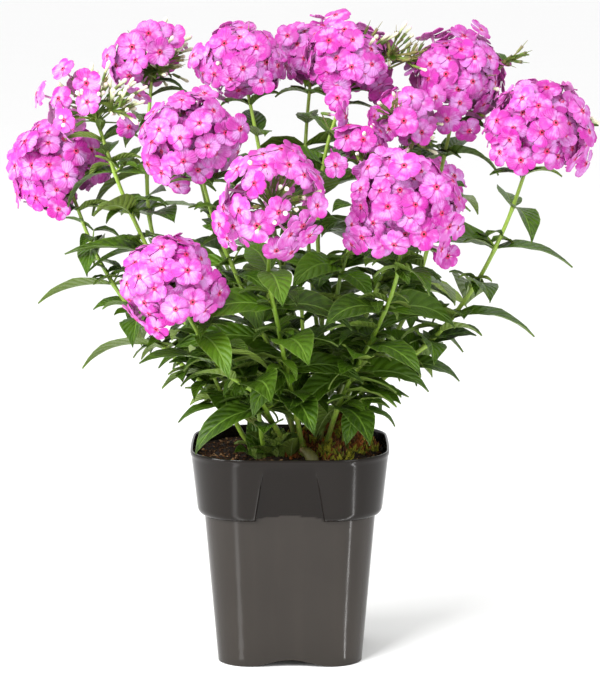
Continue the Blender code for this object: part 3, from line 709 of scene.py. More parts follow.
def plastic_finish():
    """Moulded warm grey plastic, half glossy, with faint flow streaks; its collar and panels are darkened
    with painted shade.
    """
    g = Graph("pot_plastic", 0.16, 0.2)
    _, _, depth = g.tone()
    grey = g.mix(g.ramp(g.noise(9, 4), 0.35, 0.7), (0.023, 0.0195, 0.0165), (0.0265, 0.0225, 0.019))
    streak = g.ramp(g.noise(60, 3, (1, 1, 0.04)), 0.42, 0.72, 0, 0.2)
    grey = g.mix(streak, grey, (0.036, 0.03, 0.025))
    # Painted shade: the collar and panels are mixed towards near black, for the dark reflections they catch
    g.colour(g.mix(depth, grey, (0.005, 0.0033, 0.0022)))
    g.rough(g.ramp(g.noise(14, 3), 0.3, 0.75, 0.12, 0.2))
    return g.material


def soil_finish():
    """Dark moist peat with tan and reddish crumbs."""
    g = Graph("peat", 0.9, 0.2)
    chance, _, kind = g.tone()
    ground = g.mix(g.ramp(g.noise(420, 4), 0.35, 0.7), (0.006, 0.004, 0.003), (0.026, 0.015, 0.01))
    crumb = g.mix(chance, (0.008, 0.004, 0.002), (0.09, 0.036, 0.012))
    crumb = g.mix(g.ramp(chance, 0.88, 0.96), crumb, (0.26, 0.15, 0.07))
    g.colour(g.mix(kind, ground, crumb))
    g.bump(g.noise(1500, 4), 0.6, 0.0012)
    return g.material


def moss_finish():
    """Old scales and moss at the crown, from brown and rust to yellow green."""
    g = Graph("moss", 0.75, 0.25)
    chance, _, kind = g.tone()
    brown = g.mix(chance, (0.02, 0.009, 0.003), (0.24, 0.075, 0.012))
    green = g.mix(chance, (0.05, 0.07, 0.004), (0.3, 0.28, 0.02))
    g.colour(g.mix(kind, brown, green))
    g.bump(g.noise(1800, 3), 0.5, 0.0008)
    return g.material


def stub_finish():
    """Cut stubs of old stems: pale green-brown bark and a lighter cut."""
    g = Graph("old_stem", 0.6)
    _, up = g.shape()
    bark = g.mix(g.noise(600, 4, (1, 1, 0.2)), (0.03, 0.03, 0.004), (0.13, 0.12, 0.02))
    g.colour(g.mix(g.ramp(up, 0.86, 0.94), bark, (0.13, 0.085, 0.03)))
    g.bump(g.noise(1100, 4, (1, 1, 0.2)), 0.4, 0.001)
    return g.material


def stem_finish():
    """Yellow-green stems, darker and browner at the foot, finely streaked."""
    g = Graph("stem_green", 0.42)
    chance, _, _ = g.tone()
    _, up = g.shape()
    green = g.mix(chance, (0.14, 0.25, 0.014), (0.25, 0.38, 0.038))
    foot = g.mix(g.ramp(g.noise(200, 3), 0.4, 0.62), (0.07, 0.12, 0.012), (0.14, 0.1, 0.03))
    green = g.mix(g.ramp(up, 0.05, 0.4), foot, green)
    streak = g.ramp(g.noise(900, 3, (1, 1, 0.08)), 0.45, 0.75, 0, 0.4)
    g.colour(g.mix(streak, green, (0.34, 0.43, 0.1)))
    g.bump(g.noise(1600, 3, (1, 1, 0.15)), 0.3, 0.0005)
    return g.material


def leaf_finish():
    """Green leaves: pale rib, finer side veins, paler underside, every leaf its own shade."""
    g = Graph("leaf_green", 0.5, 0.3)
    chance, under, fresh = g.tone()
    across, up = g.shape()
    off = g.off_middle(across)
    face = g.mix(chance, (0.008, 0.026, 0.0003), (0.052, 0.125, 0.002))
    face = g.mix(fresh, face, (0.11, 0.2, 0.008))
    mottle = g.ramp(g.noise(160, 5), 0.35, 0.7, 0, 0.5)
    face = g.mix(mottle, face, (0.07, 0.15, 0.005))
    back = g.mix(chance, (0.055, 0.11, 0.01), (0.16, 0.23, 0.035))
    along = g.math("MULTIPLY", g.math("POWER", up, VEIN_CROWDING), SIDE_VEINS)
    phase = g.math("SUBTRACT", along, g.math("MULTIPLY", off, VEIN_SLANT))
    wave = g.math("ABSOLUTE", g.math("SUBTRACT", g.math("FRACT", phase), 0.5))
    vein = g.ramp(wave, 0.4, 0.5)
    rib = g.ramp(off, 0.03, 0.085, 1, 0)
    line = g.math("MAXIMUM", g.math("MULTIPLY", vein, 0.25), g.math("MULTIPLY", rib, 0.75))
    face = g.mix(line, face, (0.14, 0.25, 0.03))
    edge = g.ramp(off, 0.9, 1.0, 0, 0.45)
    face = g.mix(edge, face, (0.17, 0.26, 0.05))
    back = g.mix(line, back, (0.34, 0.45, 0.17))
    g.colour(g.mix(under, face, back))
    g.rough(g.ramp(g.noise(500, 3), 0.3, 0.7, 0.34, 0.5))
    swell = g.math("MULTIPLY", g.ramp(wave, 0.05, 0.5, 1, 0), g.ramp(off, 0.0, 0.2))
    relief = g.math("ADD", swell, g.math("MULTIPLY", g.noise(1400, 3), 0.5))
    g.bump(g.math("SUBTRACT", relief, g.math("MULTIPLY", rib, 1.2)), 0.7, 0.0009)
    return g.material


def petal_finish():
    """Orchid pink petals with paler streaks round a small crimson eye whose middle is painted shade, and a
    paler underside and tube; the underside is lightened further with painted light.
    """
    g = Graph("petal_pink", 0.55, 0.2)
    chance, under, tube = g.tone()
    across, out = g.shape()
    off = g.off_middle(across)
    pink = g.mix(chance, (0.36, 0.014, 0.23), (0.56, 0.16, 0.5))
    pink = g.mix(g.ramp(g.noise(140, 3), 0.42, 0.62, 0, 0.75), pink, (0.47, 0.022, 0.32))
    pink = g.mix(g.ramp(g.noise(95, 3), 0.46, 0.64, 0, 0.7), pink, (0.58, 0.32, 0.66))
    pink = g.mix(g.ramp(out, 0.72, 1.0, 0, 0.45), pink, (0.42, 0.03, 0.28))
    pale = g.math("MULTIPLY", g.ramp(out, 0.18, 0.6, 1, 0), g.ramp(off, 0.1, 0.75, 1, 0))
    pink = g.mix(g.math("MULTIPLY", pale, g.ramp(chance, 0.1, 0.9, 0.15, 0.5)), pink, (0.8, 0.58, 0.77))
    lines = g.math("SINE", g.math("MULTIPLY", across, 34))
    pink = g.mix(g.math("MULTIPLY", g.ramp(lines, 0.0, 1), 0.22), pink, (0.56, 0.03, 0.4))
    ring = g.ramp(out, 0.16, 0.24, 1, 0)
    pink = g.mix(g.math("MULTIPLY", ring, 0.85), pink, (0.56, 0.012, 0.09))
    # Painted shade: the middle of the eye, where the tube opens, is painted near black for the shadow inside
    # it
    pink = g.mix(g.ramp(out, 0.08, 0.13, 1, 0), pink, (0.09, 0.014, 0.01))
    # Paler underside: partly the petals' own paler back, partly painted light that keeps shaded undersides
    # bright
    back = g.mix(chance, (0.6, 0.11, 0.46), (0.76, 0.35, 0.67))
    pink = g.mix(under, pink, back)
    g.colour(g.mix(tube, pink, (0.6, 0.24, 0.5)))
    g.bump(g.math("ADD", g.noise(900, 2), g.math("MULTIPLY", lines, 0.4)), 0.5, 0.0005)
    return g.material


def calyx_finish():
    """Green calyxes and flower stalks, purplish at the teeth."""
    g = Graph("calyx_green", 0.5)
    chance, _, spent = g.tone()
    _, up = g.shape()
    green = g.mix(chance, (0.055, 0.12, 0.009), (0.2, 0.29, 0.035))
    green = g.mix(g.ramp(up, 0.6, 1.0, 0, 0.45), green, (0.2, 0.07, 0.1))
    g.colour(g.mix(spent, green, (0.36, 0.25, 0.11)))
    g.bump(g.noise(1500, 2), 0.3, 0.0004)
    return g.material


def bud_finish():
    """Closed buds: pale green below, white and then pink at the tip."""
    g = Graph("bud", 0.5)
    chance, _, _ = g.tone()
    _, up = g.shape()
    body = g.mix(g.ramp(up, 0.1, 0.5), (0.36, 0.46, 0.16), (0.74, 0.76, 0.52))
    tip = g.mix(chance, (0.84, 0.8, 0.66), (0.8, 0.38, 0.68))
    g.colour(g.mix(g.ramp(up, 0.55, 1.0), body, tip))
    g.bump(g.noise(1300, 2), 0.25, 0.0004)
    return g.material


# The pot and what fills it


def level(first, last, height):
    """Half width and corner radius between two levels of the pot."""
    share = (height - first[0]) / (last[0] - first[0])
    return (height, first[1] + share * (last[1] - first[1]), first[2] + share * (last[2] - first[2]))


def panel_at(height):
    """At a height: the share of the panel above it, the panel's half width, its face, and the body's wall."""
    share = np.clip((PANEL_TOP[0] - height) / (PANEL_TOP[0] - PANEL_FOOT[0]), 0, 1)
    width = PANEL_TOP[2] + share * (PANEL_FOOT[2] - PANEL_TOP[2])
    face = PANEL_TOP[1] + share * (PANEL_FOOT[1] - PANEL_TOP[1]) - PANEL_SINK * share
    return share, width, face, POT_BODY[1][1] + (height - POT_BODY[1][0]) * BODY_FLARE


def pot_side(width, corner, plain, lip):
    """One side and the corner after it, unbowed: along, out, share of the panel's depth, and lip."""
    start = max(corner, width + BESIDE_PANEL[1])
    half_side = [(s, 1, 0) for s in np.linspace(0, width - PANEL_EDGE, PANEL_POINTS)]
    half_side += [(width + away, depth, lip * share) for away, depth, share in PANEL_BORDER]
    half_side += [(s, 0, 0) for s in np.linspace(width + BESIDE_PANEL[0], start, BESIDE_POINTS)]
    side = [(-s, plain, *more) for s, *more in reversed(half_side[1:])]
    side += [(s, plain, *more) for s, *more in half_side]
    for step in range(1, CORNER_STEPS):
        angle = math.pi / 2 * step / CORNER_STEPS
        out = corner + (plain - corner) * math.cos(angle)
        side.append((start + (plain - start) * math.sin(angle), out, 0, 0))
    return side


def pot_ring(height, half, radius, behind=0.0, gap=0.0):
    """One level of the pot: a square with round corners, bowed sides, and a panel set into each side."""
    half -= gap
    plain = half - POT_BOW
    share, width, face, body = panel_at(height)
    width = width + PANEL_SLOPE * behind + gap
    face = face - behind - gap
    body = body - behind - gap
    sunk = POT_BODY[1][0] < height < PANEL_TOP[0]
    lip = 0
    if sunk and not behind:
        lip = PANEL_LIP * min(share * PANEL_LIP_FADE, 1) * min(max(half - face, 0), 1)
    ring = []
    for quarter in range(4):
        for s, out, sink, raised in pot_side(width, plain - radius + gap, plain, lip):
            x = s * (1 + POT_BOW / plain * (1 - (out / plain) ** 2))
            y = out * (1 + POT_BOW / plain * (1 - (s / plain) ** 2))
            if sunk:
                floor = max(face, body - POT_BOW * (s / (body - POT_BOW)) ** 2)
                y += sink * min(floor - y, 0) + raised
            point = (x, -y)
            for _ in range(quarter):
                point = (-point[1], point[0])
            ring.append((*point, height))
    return np.array(ring)


def arch(x, y):
    """How high the underside is: two channels cross under the pot and leave four corner feet."""
    def bell(s):
        return np.where(np.abs(s) < ARCH_HALF, np.cos(math.pi / 2 * s / ARCH_HALF) ** 2, 0) * ARCH_HEIGHT

    return np.maximum(bell(x), bell(y))


def pot_rings():
    """The levels of the pot: under its floor, up the outside, over the rim and down the inside."""
    foot = pot_ring(*POT_BODY[0])
    rings = [foot * (share, share, 0) for share in FLOOR_SHARES]
    for ring in rings:
        ring[:, 2] = arch(ring[:, 0], ring[:, 1])
    for z, half, radius in [POT_FOOT_EDGE, *(level(*POT_BODY, z) for z in BODY_LEVELS)]:
        ring = pot_ring(z, half, radius)
        ring[:, 2] += arch(ring[:, 0], ring[:, 1]) * max(1 - z / ARCH_FADE, 0)
        rings.append(ring)
    low, high = np.array(POT_BODY[1]), np.array(POT_COLLAR[0])
    for angle in np.linspace(0, math.pi / 2, SHOULDER_STEPS + 1):
        share = (1 - math.cos(angle), math.sin(angle), math.sin(angle))
        rings.append(pot_ring(*(low + (high - low) * share)))
    rings += [pot_ring(*level(*POT_COLLAR, z)) for z in COLLAR_LEVELS]
    rings += [pot_ring(*one) for one in POT_RIM]
    for first, last in zip(POT_INSIDE, POT_INSIDE[1:]):
        for share in (0.25, 0.5, 0.75, 1.0):
            rings.append(pot_ring(*level(first, last, first[0] + share * (last[0] - first[0])), WALL))
    return [*rings, rings[-1] * (0.5, 0.5, 1)]


def pot_painted_shade(points):
    """Painted shade at each point: the panels and the collar are painted darker than the body, for the dark
    reflections they catch.
    """
    x, y, z = np.abs(points.T)
    across, out = np.minimum(x, y), np.maximum(x, y)
    _, width, _, body = panel_at(z)
    on_body = out < body - POT_BOW * (across / (body - POT_BOW)) ** 2 + 0.05
    between = across < width - PANEL_EDGE
    panel = (z > POT_BODY[1][0] + 0.1) & (z < PANEL_TOP[0]) & between & ~on_body
    collar = (z > POT_BODY[1][0]) & ~(between & on_body)
    # Painted shade: full on the panels, most of it on the collar, none on the body
    depth = np.where(panel, 1.0, np.where(collar, COLLAR_PAINTED_SHADE, 0))
    return np.stack([np.zeros(len(z)), np.zeros(len(z)), depth], axis=-1)


def make_pot(finish):
    """The pot, with its drain holes."""
    piece = Piece()
    points, faces = skin(pot_rings())
    piece.add(points, faces, tone=pot_painted_shade(points))
    pot = piece.build("pot_shell", [finish], 40)
    cut_drains(pot)
    return pot


def cut_drains(pot):
    """Cuts the four drain holes through the floor of the pot."""
    cutters = Piece()
    for quarter in range(4):
        angle = math.pi / 2 * quarter
        x, y = DRAIN_OFFSET * math.cos(angle), DRAIN_OFFSET * math.sin(angle)
        cutters.add(*swept([(x, y, z) for z in DRAIN_HEIGHTS], [DRAIN_RADIUS] * 3, 24)[:2])
    cutter = cutters.build("drains", [])
    modifier = pot.modifiers.new("drains", "BOOLEAN")
    modifier.operation = "DIFFERENCE"
    modifier.object = cutter
    modifier.solver = "MANIFOLD"
    bpy.context.view_layer.update()
    graph = bpy.context.evaluated_depsgraph_get()
    mesh = bpy.data.meshes.new_from_object(pot.evaluated_get(graph))
    pot.modifiers.clear()
    pot.data = mesh
    bpy.data.objects.remove(cutter)


def roughness(x, y, waves):
    """How uneven the ground is at a place: noises, each with its depth, wave and layer."""
    return sum(depth * noise.noise(Vector((x / wave, y / wave, layer))) for depth, wave, layer in waves)


def crumbly(x, y):
    """Height of the soil with its unevenness."""
    return soil_height(x, y) + roughness(x, y, SOIL_ROUGHNESS)


def chunk(draw):
    """A crumb of about radius 1: an eight-sided lump with uneven corners."""
    points = np.array(((1, 0, 0), (0, 1, 0), (-1, 0, 0), (0, -1, 0), (0, 0, 1), (0, 0, -1)), float)
    points *= [[draw.uniform(0.6, 1.2)] for _ in points]
    turn = jitter(draw, 1).to_track_quat("Z", "Y").to_matrix()
    faces = np.array(((0, 1, 4), (1, 2, 4), (2, 3, 4), (3, 0, 4), (1, 0, 5), (2, 1, 5), (3, 2, 5), (0, 3, 5)))
    return points @ np.array(turn).T, faces


def soil_spot(draw, reach):
    """A chance place on the soil, clear of the pot's wall."""
    while True:
        x, y = draw.uniform(-reach, reach), draw.uniform(-reach, reach)
        if (abs(x) / reach) ** 3.4 + (abs(y) / reach) ** 3.4 < 1:
            return x, y


def soil_rings():
    """The levels of the soil: up inside the pot's wall, then in over its uneven top."""
    levels = [level(POT_INSIDE[3], POT_INSIDE[4], z) for z in (SOIL_FLOOR, 60, 110, 128)]
    levels += [level(POT_INSIDE[2], POT_INSIDE[3], z) for z in (131, 136)]
    levels += [level(POT_INSIDE[1], POT_INSIDE[2], z) for z in (155, SOIL_LEVEL)]
    rings = [pot_ring(*one, WALL, SOIL_GAP) for one in levels]
    edge = rings[-1]
    rings.insert(0, rings[0] * (0.5, 0.5, 1))
    for share in np.linspace(0.985, 0.02, 46):
        ring = edge * (share, share, 1)
        ring[:, 2] = [crumbly(x, y) for x, y, _ in ring]
        rings.append(ring)
    return rings


def straw(draw, x, y):
    """The line of a bit of straw or root that lies on the soil."""
    turn, size = draw.uniform(0, math.tau), draw.uniform(3, 9)
    line = []
    for t in (-1, -0.4, 0.3, 1):
        side = draw.uniform(-0.12, 0.12) * size
        px = x + size * t * math.cos(turn) - side * math.sin(turn)
        py = y + size * t * math.sin(turn) + side * math.cos(turn)
        line.append((px, py, crumbly(px, py) + 0.5 + draw.uniform(0, 0.8)))
    return line


def make_soil(finish):
    """The soil that fills the pot, with crumbs and bits of straw on it."""
    draw = random.Random(f"{SEED}soil")
    piece = Piece()
    piece.add(*skin(soil_rings()))
    for _ in range(CRUMBS):
        x, y = soil_spot(draw, CRUMB_REACH)
        size = 0.6 + 1.5 * draw.random() ** 2.2
        points, faces = chunk(draw)
        place = (x, y, crumbly(x, y) + 0.3 * size)
        piece.add(points * size * (1, 1, 0.8) + place, faces, tone=(draw.random(), 0, 1))
    for _ in range(STRAWS):
        line = straw(draw, *soil_spot(draw, STRAW_REACH))
        piece.add(*swept(line, (0.15, 0.3, 0.3, 0.12), 4)[:2], tone=(draw.choice((0.7, 0.96, 1.0)), 0, 1))
    return piece.build("soil_peat", [finish], 30)


def mound_rings(mound):
    """The levels of one mound of the crown, from its wavy edge inwards."""
    x, y, _, radius = mound
    angles = np.linspace(0, math.tau, 40, endpoint=False)
    rings = []
    for share in (1.0, 0.92, 0.8, 0.65, 0.48, 0.3, 0.12):
        reach = radius * share * (1 + 0.12 * np.sin(3 * angles + x) + 0.06 * np.sin(7 * angles))
        places = zip(x + reach * np.cos(angles), y + reach * np.sin(angles))
        rings.append([(a, b, crown_height(a, b, share)) for a, b in places])
    return rings


def add_tuft(piece, draw):
    """A pointed tuft of moss or an old scale on one of the mounds."""
    mound = draw.choice(CROWN_MOUNDS + CROWN_MOUNDS[:1] * 2)
    reach, turn = mound[3] * math.sqrt(draw.random()) * 1.08, draw.uniform(0, math.tau)
    x, y = mound[0] + reach * math.cos(turn), mound[1] + reach * math.sin(turn)
    foot = Vector((x, y, crown_height(x, y, min(reach / mound[3], 1))))
    kind = noise.noise(Vector((x / 9, y / 9, 5))) + draw.uniform(-0.3, 0.3)
    axis = Vector((draw.uniform(-0.9, 0.9), draw.uniform(-0.9, 0.9), 1)).normalized()
    tip = foot + axis * draw.uniform(3, 8)
    line = [foot - Vector((0, 0, 1)), foot.lerp(tip, 0.4), tip]
    tone = (draw.random(), 0, 1.0 if kind > 0.05 else 0.0)
    piece.add(*swept(line, (0.7, draw.uniform(1.0, 1.8), 0.1), 4)[:2], tone=tone)


def add_stub(piece, draw):
    """The woody stub of a stem that was cut off."""
    turn, ring = draw.uniform(0, math.tau), draw.uniform(8, 26)
    foot = Vector((CROWN[0] + ring * math.cos(turn), CROWN[1] + ring * math.sin(turn), 0))
    foot.z = soil_height(foot.x, foot.y) - 3
    tilt = Vector((math.cos(turn) * 0.4, math.sin(turn) * 0.4, 1)).normalized()
    line = [foot + tilt * step for step in np.linspace(0, draw.uniform(8, 13), 7)]
    radii = draw.uniform(2.0, 3.0) * np.array((1.25, 1.1, 1, 1, 1, 1, 0.9))
    piece.add(*swept(line, radii, 12), 1)


def make_crown(finishes):
    """Moss, old scales and cut stubs round the feet of the stems."""
    draw = random.Random(f"{SEED}crown")
    piece = Piece()
    for mound in CROWN_MOUNDS:
        piece.add(*skin(mound_rings(mound)), tone=(0.3, 0, 0))
    for _ in range(MOSS_TUFTS):
        add_tuft(piece, draw)
    for _ in range(OLD_STUBS):
        add_stub(piece, draw)
    knob = smooth_path([Vector(point) for point in KNOB], 12)
    radii = np.interp(np.linspace(0, 1, len(knob)), (0, 0.3, 0.7, 1), KNOB_RADII)
    piece.add(*swept(knob, radii, 14), 1)
    return piece.build("crown_moss", finishes, 60)


def crown_height(x, y, share):
    """The surface of the old crown's mounds, which rise from the soil inside their edge."""
    rise = 0
    for mound_x, mound_y, height, radius in CROWN_MOUNDS:
        rise = max(rise, height * (1 - ((x - mound_x) ** 2 + (y - mound_y) ** 2) / radius ** 2))
    rough = roughness(x, y, CROWN_ROUGHNESS)
    return soil_height(x, y) + (rise + rough) * (1 - share ** 4) - 1.5 * share ** 4


def make_basal_leaves(finishes):
    """Short dense leaves that come up round the crown."""
    draw = random.Random(f"{SEED}basal")
    piece = Piece()
    for _ in range(BASAL_LEAVES):
        x, y, spread = draw.choice(BASAL_SPOTS)
        x, y = x + draw.gauss(0, spread * 0.6), y + draw.gauss(0, spread * 0.6)
        base = Vector((x, y, soil_height(x, y) - 1))
        add_small_leaf(piece, draw, "basal", base, draw.uniform(0, math.tau))
    return piece.build("basal_leaves", finishes)


# Stems and leaves


def leaf_width(t):
    """Share of a leaf's full width at t along it: narrow foot, widest near two fifths, long point."""
    return np.maximum(np.sin(math.pi * np.power(t, 0.75)), 0) ** 1.05


def add_leaf(piece, leaf, draw, fresh=0.0, proportion=BLADE_PROPORTION, rows=13):
    """One leaf as a thin closed blade: ribbed, folded, wavy at the margin and a little swept to one side."""
    along_it = np.concatenate([[0.004, 0.03], np.linspace(0.08, 0.97, rows - 3), [1.0]])
    columns = LEAF_COLUMNS if rows > 10 else SMALL_COLUMNS
    half = leaf.length * proportion * draw.uniform(*LEAF_WIDTHS)
    sway = draw.uniform(-LEAF_SWAY, LEAF_SWAY) * leaf.length
    wave = draw.uniform(*LEAF_WAVE) * half
    beats = draw.uniform(*LEAF_BEATS)
    phase = draw.uniform(0, math.tau)
    curl = draw.uniform(*LEAF_CURL) * leaf.length * 0.05
    up = Vector((0, 0, 1))
    top = np.zeros((len(along_it), len(columns), 3))
    under = np.zeros_like(top)
    uv = np.zeros((len(along_it), len(columns), 2))
    for row, t in enumerate(along_it):
        slope = leaf.pitch - leaf.droop * t
        normal = up * math.cos(slope) - leaf.forward * math.sin(slope)
        roll = leaf.roll * (0.55 + 0.45 * t)
        across = leaf.left * math.cos(roll) + normal * math.sin(roll)
        lift = normal * math.cos(roll) - leaf.left * math.sin(roll)
        reach = half * max(float(leaf_width(t)), 0.05 if t < 0.5 else 0.012)
        middle = leaf.spine(t) + across * sway * math.sin(math.pi * t) - normal * curl * t ** 4
        for column, u in enumerate(columns):
            fold = leaf.fold * abs(u) ** 1.3 * reach
            ripple = wave * u * u * math.sin(beats * math.tau * t + phase + (1.3 if u < 0 else 0))
            veins = math.sin(SIDE_VEINS * math.tau * t ** VEIN_CROWDING - 6 * abs(u))
            quilt = QUILT_DEPTH * veins * (1 - abs(u)) * abs(u)
            rib = -RIB_DEPTH if u == 0 else 0
            spot = middle + across * u * reach + lift * (fold + ripple * leaf_width(t) + quilt + rib)
            body = LEAF_THICKNESS * (1.7 if u == 0 else 1) * (0.35 if abs(u) == 1 else 1)
            top[row, column] = spot
            under[row, column] = spot - lift * body
            uv[row, column] = (0.5 - 0.5 * u, t)
    points, faces, uv, side = shell(top, under, uv)
    tone = np.stack([np.full(len(side), draw.random()), side, np.full(len(side), fresh)], axis=-1)
    piece.add(points, faces, uv, 1, tone)


def add_small_leaf(piece, draw, kind, base, azimuth, length=None, size=1.0):
    """A small leaf of one kind, with its values drawn from the kind's ranges."""
    pitch, usual_length, droop, roll, fold, fresh, proportion, rows = SMALL_LEAVES[kind]
    pitch = math.radians(drawn(draw, pitch))
    length = size * drawn(draw, length or usual_length)
    leaf = Leaf(base, azimuth, pitch, length, drawn(draw, droop), drawn(draw, roll), drawn(draw, fold))
    add_leaf(piece, leaf, draw, drawn(draw, fresh), proportion, rows)


def side_shoot(piece, leaf, draw):
    """A young shoot in a leaf's axil: a short twig with two pairs of small leaves."""
    azimuth = math.atan2(leaf.forward.y, leaf.forward.x) + draw.uniform(-0.6, 0.6)
    rise = draw.uniform(0.5, 1.2)
    heading = Vector((math.cos(azimuth) * math.cos(rise), math.sin(azimuth) * math.cos(rise), math.sin(rise)))
    size = draw.uniform(0.5, 1.0)
    tip = leaf.base + heading * TWIG_LENGTH * size
    line = [leaf.base, leaf.base.lerp(tip, 0.5), tip]
    points, faces, uv = swept(line, (1.0, 0.8, 0.5), 6)
    piece.add(points, faces, uv, 0, (draw.random(), 0, 0))
    for number in range(4):
        turn = azimuth + math.pi / 2 * number + draw.uniform(-0.3, 0.3)
        add_small_leaf(piece, draw, "twig", tip if number % 2 else line[1], turn, size=size)


def nearest(points, spot):
    """The closest place to a spot on a line of points, and its distance along the line in steps."""
    best = None
    for number, (here, there) in enumerate(zip(points, points[1:])):
        share = min(max((spot - here).dot(there - here) / (there - here).length_squared, 0), 1)
        found = here.lerp(there, share)
        away = (found - spot).length
        if best is None or away < best[0]:
            best = (away, found, number + share)
    return best[1], best[2]


def solid_points(name):
    """The points of a node's solid, to look up by place."""
    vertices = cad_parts[name].data.vertices
    tree = KDTree(len(vertices))
    for number, vertex in enumerate(vertices):
        tree.insert(vertex.co, number)
    tree.balance()
    return tree


def add_main_leaves(piece, name, line, pairs, chance):
    """The leaf pairs that the solid has, many with a side shoot, and where along the line they are."""
    tips = solid_points(name)
    draw = random.Random(f"{SEED}{name}")
    joints = []
    for spot, azimuth, length in pairs:
        base, step = nearest(line, spot)
        joints.append(step)
        for half_turn in (0, math.pi):
            leaf = placed_leaf(spot, azimuth + half_turn, length, draw, tips)
            if leaf is None:
                continue
            leaf.base = base
            add_leaf(piece, leaf, chance, 0.15 * chance.random())
            if chance.random() < SIDE_SHOOT_SHARES[base.z >= LOW_LEAF]:
                side_shoot(piece, leaf, chance)
    return joints


def add_more_leaves(piece, name, path, line, bracts, chance):
    """Smaller leaves: under the head, near the top, lower on the stem, and under the bunches of buds."""
    for number in range(bracts):
        base = nearest(line, path[-1].lerp(path[-2], chance.uniform(0.02, 0.3)))[0]
        turn = math.pi / 2 * number + chance.uniform(-0.4, 0.4)
        add_small_leaf(piece, chance, "bract", base, turn, chance.uniform(*SMALL_LEAVES["bract"][1]))
    lengths = lengths_of(line)
    flower = name.removeprefix("stem_")
    for number in range(UPPER_PAIRS.get(flower, 0)):
        base = along(line, lengths, lengths[-1] - UPPER_START - UPPER_SPACING * number)
        turn = math.pi / 2 * number + chance.uniform(-0.6, 0.6)
        for half_turn in (0, math.pi):
            length = UPPER_LENGTH + UPPER_GROWTH * number
            add_small_leaf(piece, chance, "upper", base, turn + half_turn, length)
    for _ in range(INNER_LEAVES):
        base = along(line, lengths, chance.uniform(*INNER_PLACE))
        add_small_leaf(piece, chance, "inner", base, chance.uniform(0, math.tau))
    for place, spread, _, _ in BUD_BUNCHES.get(flower, ()):
        root = bunch_root(path[-1], Vector(place), spread)
        for _ in range(BUNCH_LEAVES):
            add_small_leaf(piece, chance, "bunch", root, chance.uniform(0, math.tau))


def leafy_stem(name, path, foot_radius, top_radius, pairs, finishes, bracts):
    """A round stem with swollen joints and its leaves."""
    chance = random.Random(f"{SEED}{name}looks")
    line = smooth_path(path, STEM_FINE_POINTS)
    piece = Piece()
    joints = add_main_leaves(piece, name, line, pairs, chance)
    add_more_leaves(piece, name, path, line, bracts, chance)
    radii = []
    for number in range(len(line)):
        share = number / (len(line) - 1)
        swell = max([math.exp(-((number - step) / 0.9) ** 2) for step in joints], default=0)
        radii.append((foot_radius + share * (top_radius - foot_radius)) * (1 + JOINT_SWELL * swell))
    points, faces, uv = swept(line, radii, 12)
    piece.add(points, faces, uv, 0, (chance.random(), 0, 0))
    return piece.build(name.replace("stem_", "leafy_stem_"), finishes)


# Flower heads


def petal(draw, cup, outline, columns):
    """One petal of a floret of radius 1, which points along +X."""
    rows, spans = np.array(outline).T
    bend, tip = cup + draw.uniform(-0.1, 0.07), draw.uniform(-0.1, 0.12)
    lean = draw.uniform(-0.05, 0.05)
    length = draw.uniform(0.9, 1.06)
    s, t = np.meshgrid(rows, np.linspace(-1, 1, columns), indexing="ij")
    angle = t * spans[:, None] * draw.uniform(0.94, 1.06) + lean * s
    # A shallow notch at the tip, then the cup and a twist, the collar round the eye, and ripples
    reach = s * length * (1 - 0.03 * (1 - np.abs(t)) * (s > 0.98))
    z = bend * s ** 2 + tip * s ** 4 * np.abs(t) + 0.045 * t * np.sin(math.pi * np.minimum(s, 0.98))
    z += 0.03 * np.exp(-((s - 0.15) / 0.08) ** 2) - 0.06 * t ** 2 * s
    z += draw.uniform(0.012, 0.035) * np.sin(5 * t + draw.uniform(0, math.tau)) * s
    top = np.stack([reach * np.cos(angle), reach * np.sin(angle), z], axis=-1)
    return top, top - (0, 0, PETAL_THICKNESS), np.stack([0.5 + 0.5 * t, s], axis=-1)


def floret_shape(draw, outline=FINE_PETAL, columns=4):
    """Points, faces, shape values and tones of a floret of radius 1 about +Z: five petals and a slim tube."""
    piece = Piece()
    cup = draw.uniform(-0.2, 0.14)
    for corner in range(5):
        points, faces, uv, side = shell(*petal(draw, cup, outline, columns))
        tone = np.stack([np.full(len(side), draw.uniform(-0.12, 0.12)), side, np.zeros(len(side))], axis=-1)
        piece.add(points @ about_z(math.tau * corner / 5).T, faces, uv, 0, tone)
    angles = np.linspace(0, math.tau, TUBE_SIDES, endpoint=False)
    circle = np.stack([np.cos(angles), np.sin(angles), np.zeros(TUBE_SIDES)], axis=-1)
    points, faces = skin([circle * radius + (0, 0, z) for z, radius, _, _ in TUBE])
    values = np.array([(0.5, out, 0, 0, kind) for _, _, out, kind in TUBE])
    values = values[ring_numbers(len(TUBE), TUBE_SIDES)]
    piece.add(points, faces, values[:, :2], 0, values[:, 2:])
    return [np.concatenate(part) for part in (piece.points, piece.faces, piece.uv, piece.tone)]


def calyx_shape():
    """A calyx about +Z that ends at height 0: a narrow green cup with five pointed teeth."""
    rings = []
    angles = np.arange(CALYX_SIDES) * math.tau / CALYX_SIDES
    toothed = np.arange(CALYX_SIDES) % 2 == 0
    for z, radius, tooth, _ in CALYX:
        out = radius * np.where(toothed, 1.0, 0.88)
        rings.append(np.stack([out * np.cos(angles), out * np.sin(angles),
                               z + np.where(toothed, tooth, -0.2 * tooth)], axis=-1))
    up = np.array([(0.5, share) for *_, share in CALYX])
    return *skin(rings), up[ring_numbers(len(CALYX), CALYX_SIDES)]


def stalk(piece, start, end, axis, thick, tone):
    """A flower stalk that leaves the head's axis at start and comes up behind a calyx along its axis."""
    middle = start.lerp(end, 0.55) - axis * (end - start).length * 0.12
    line = smooth_path([start, middle, end], 5)
    piece.add(*swept(line, np.linspace(thick * 1.5, thick, 5), 4), 0, tone=tone)


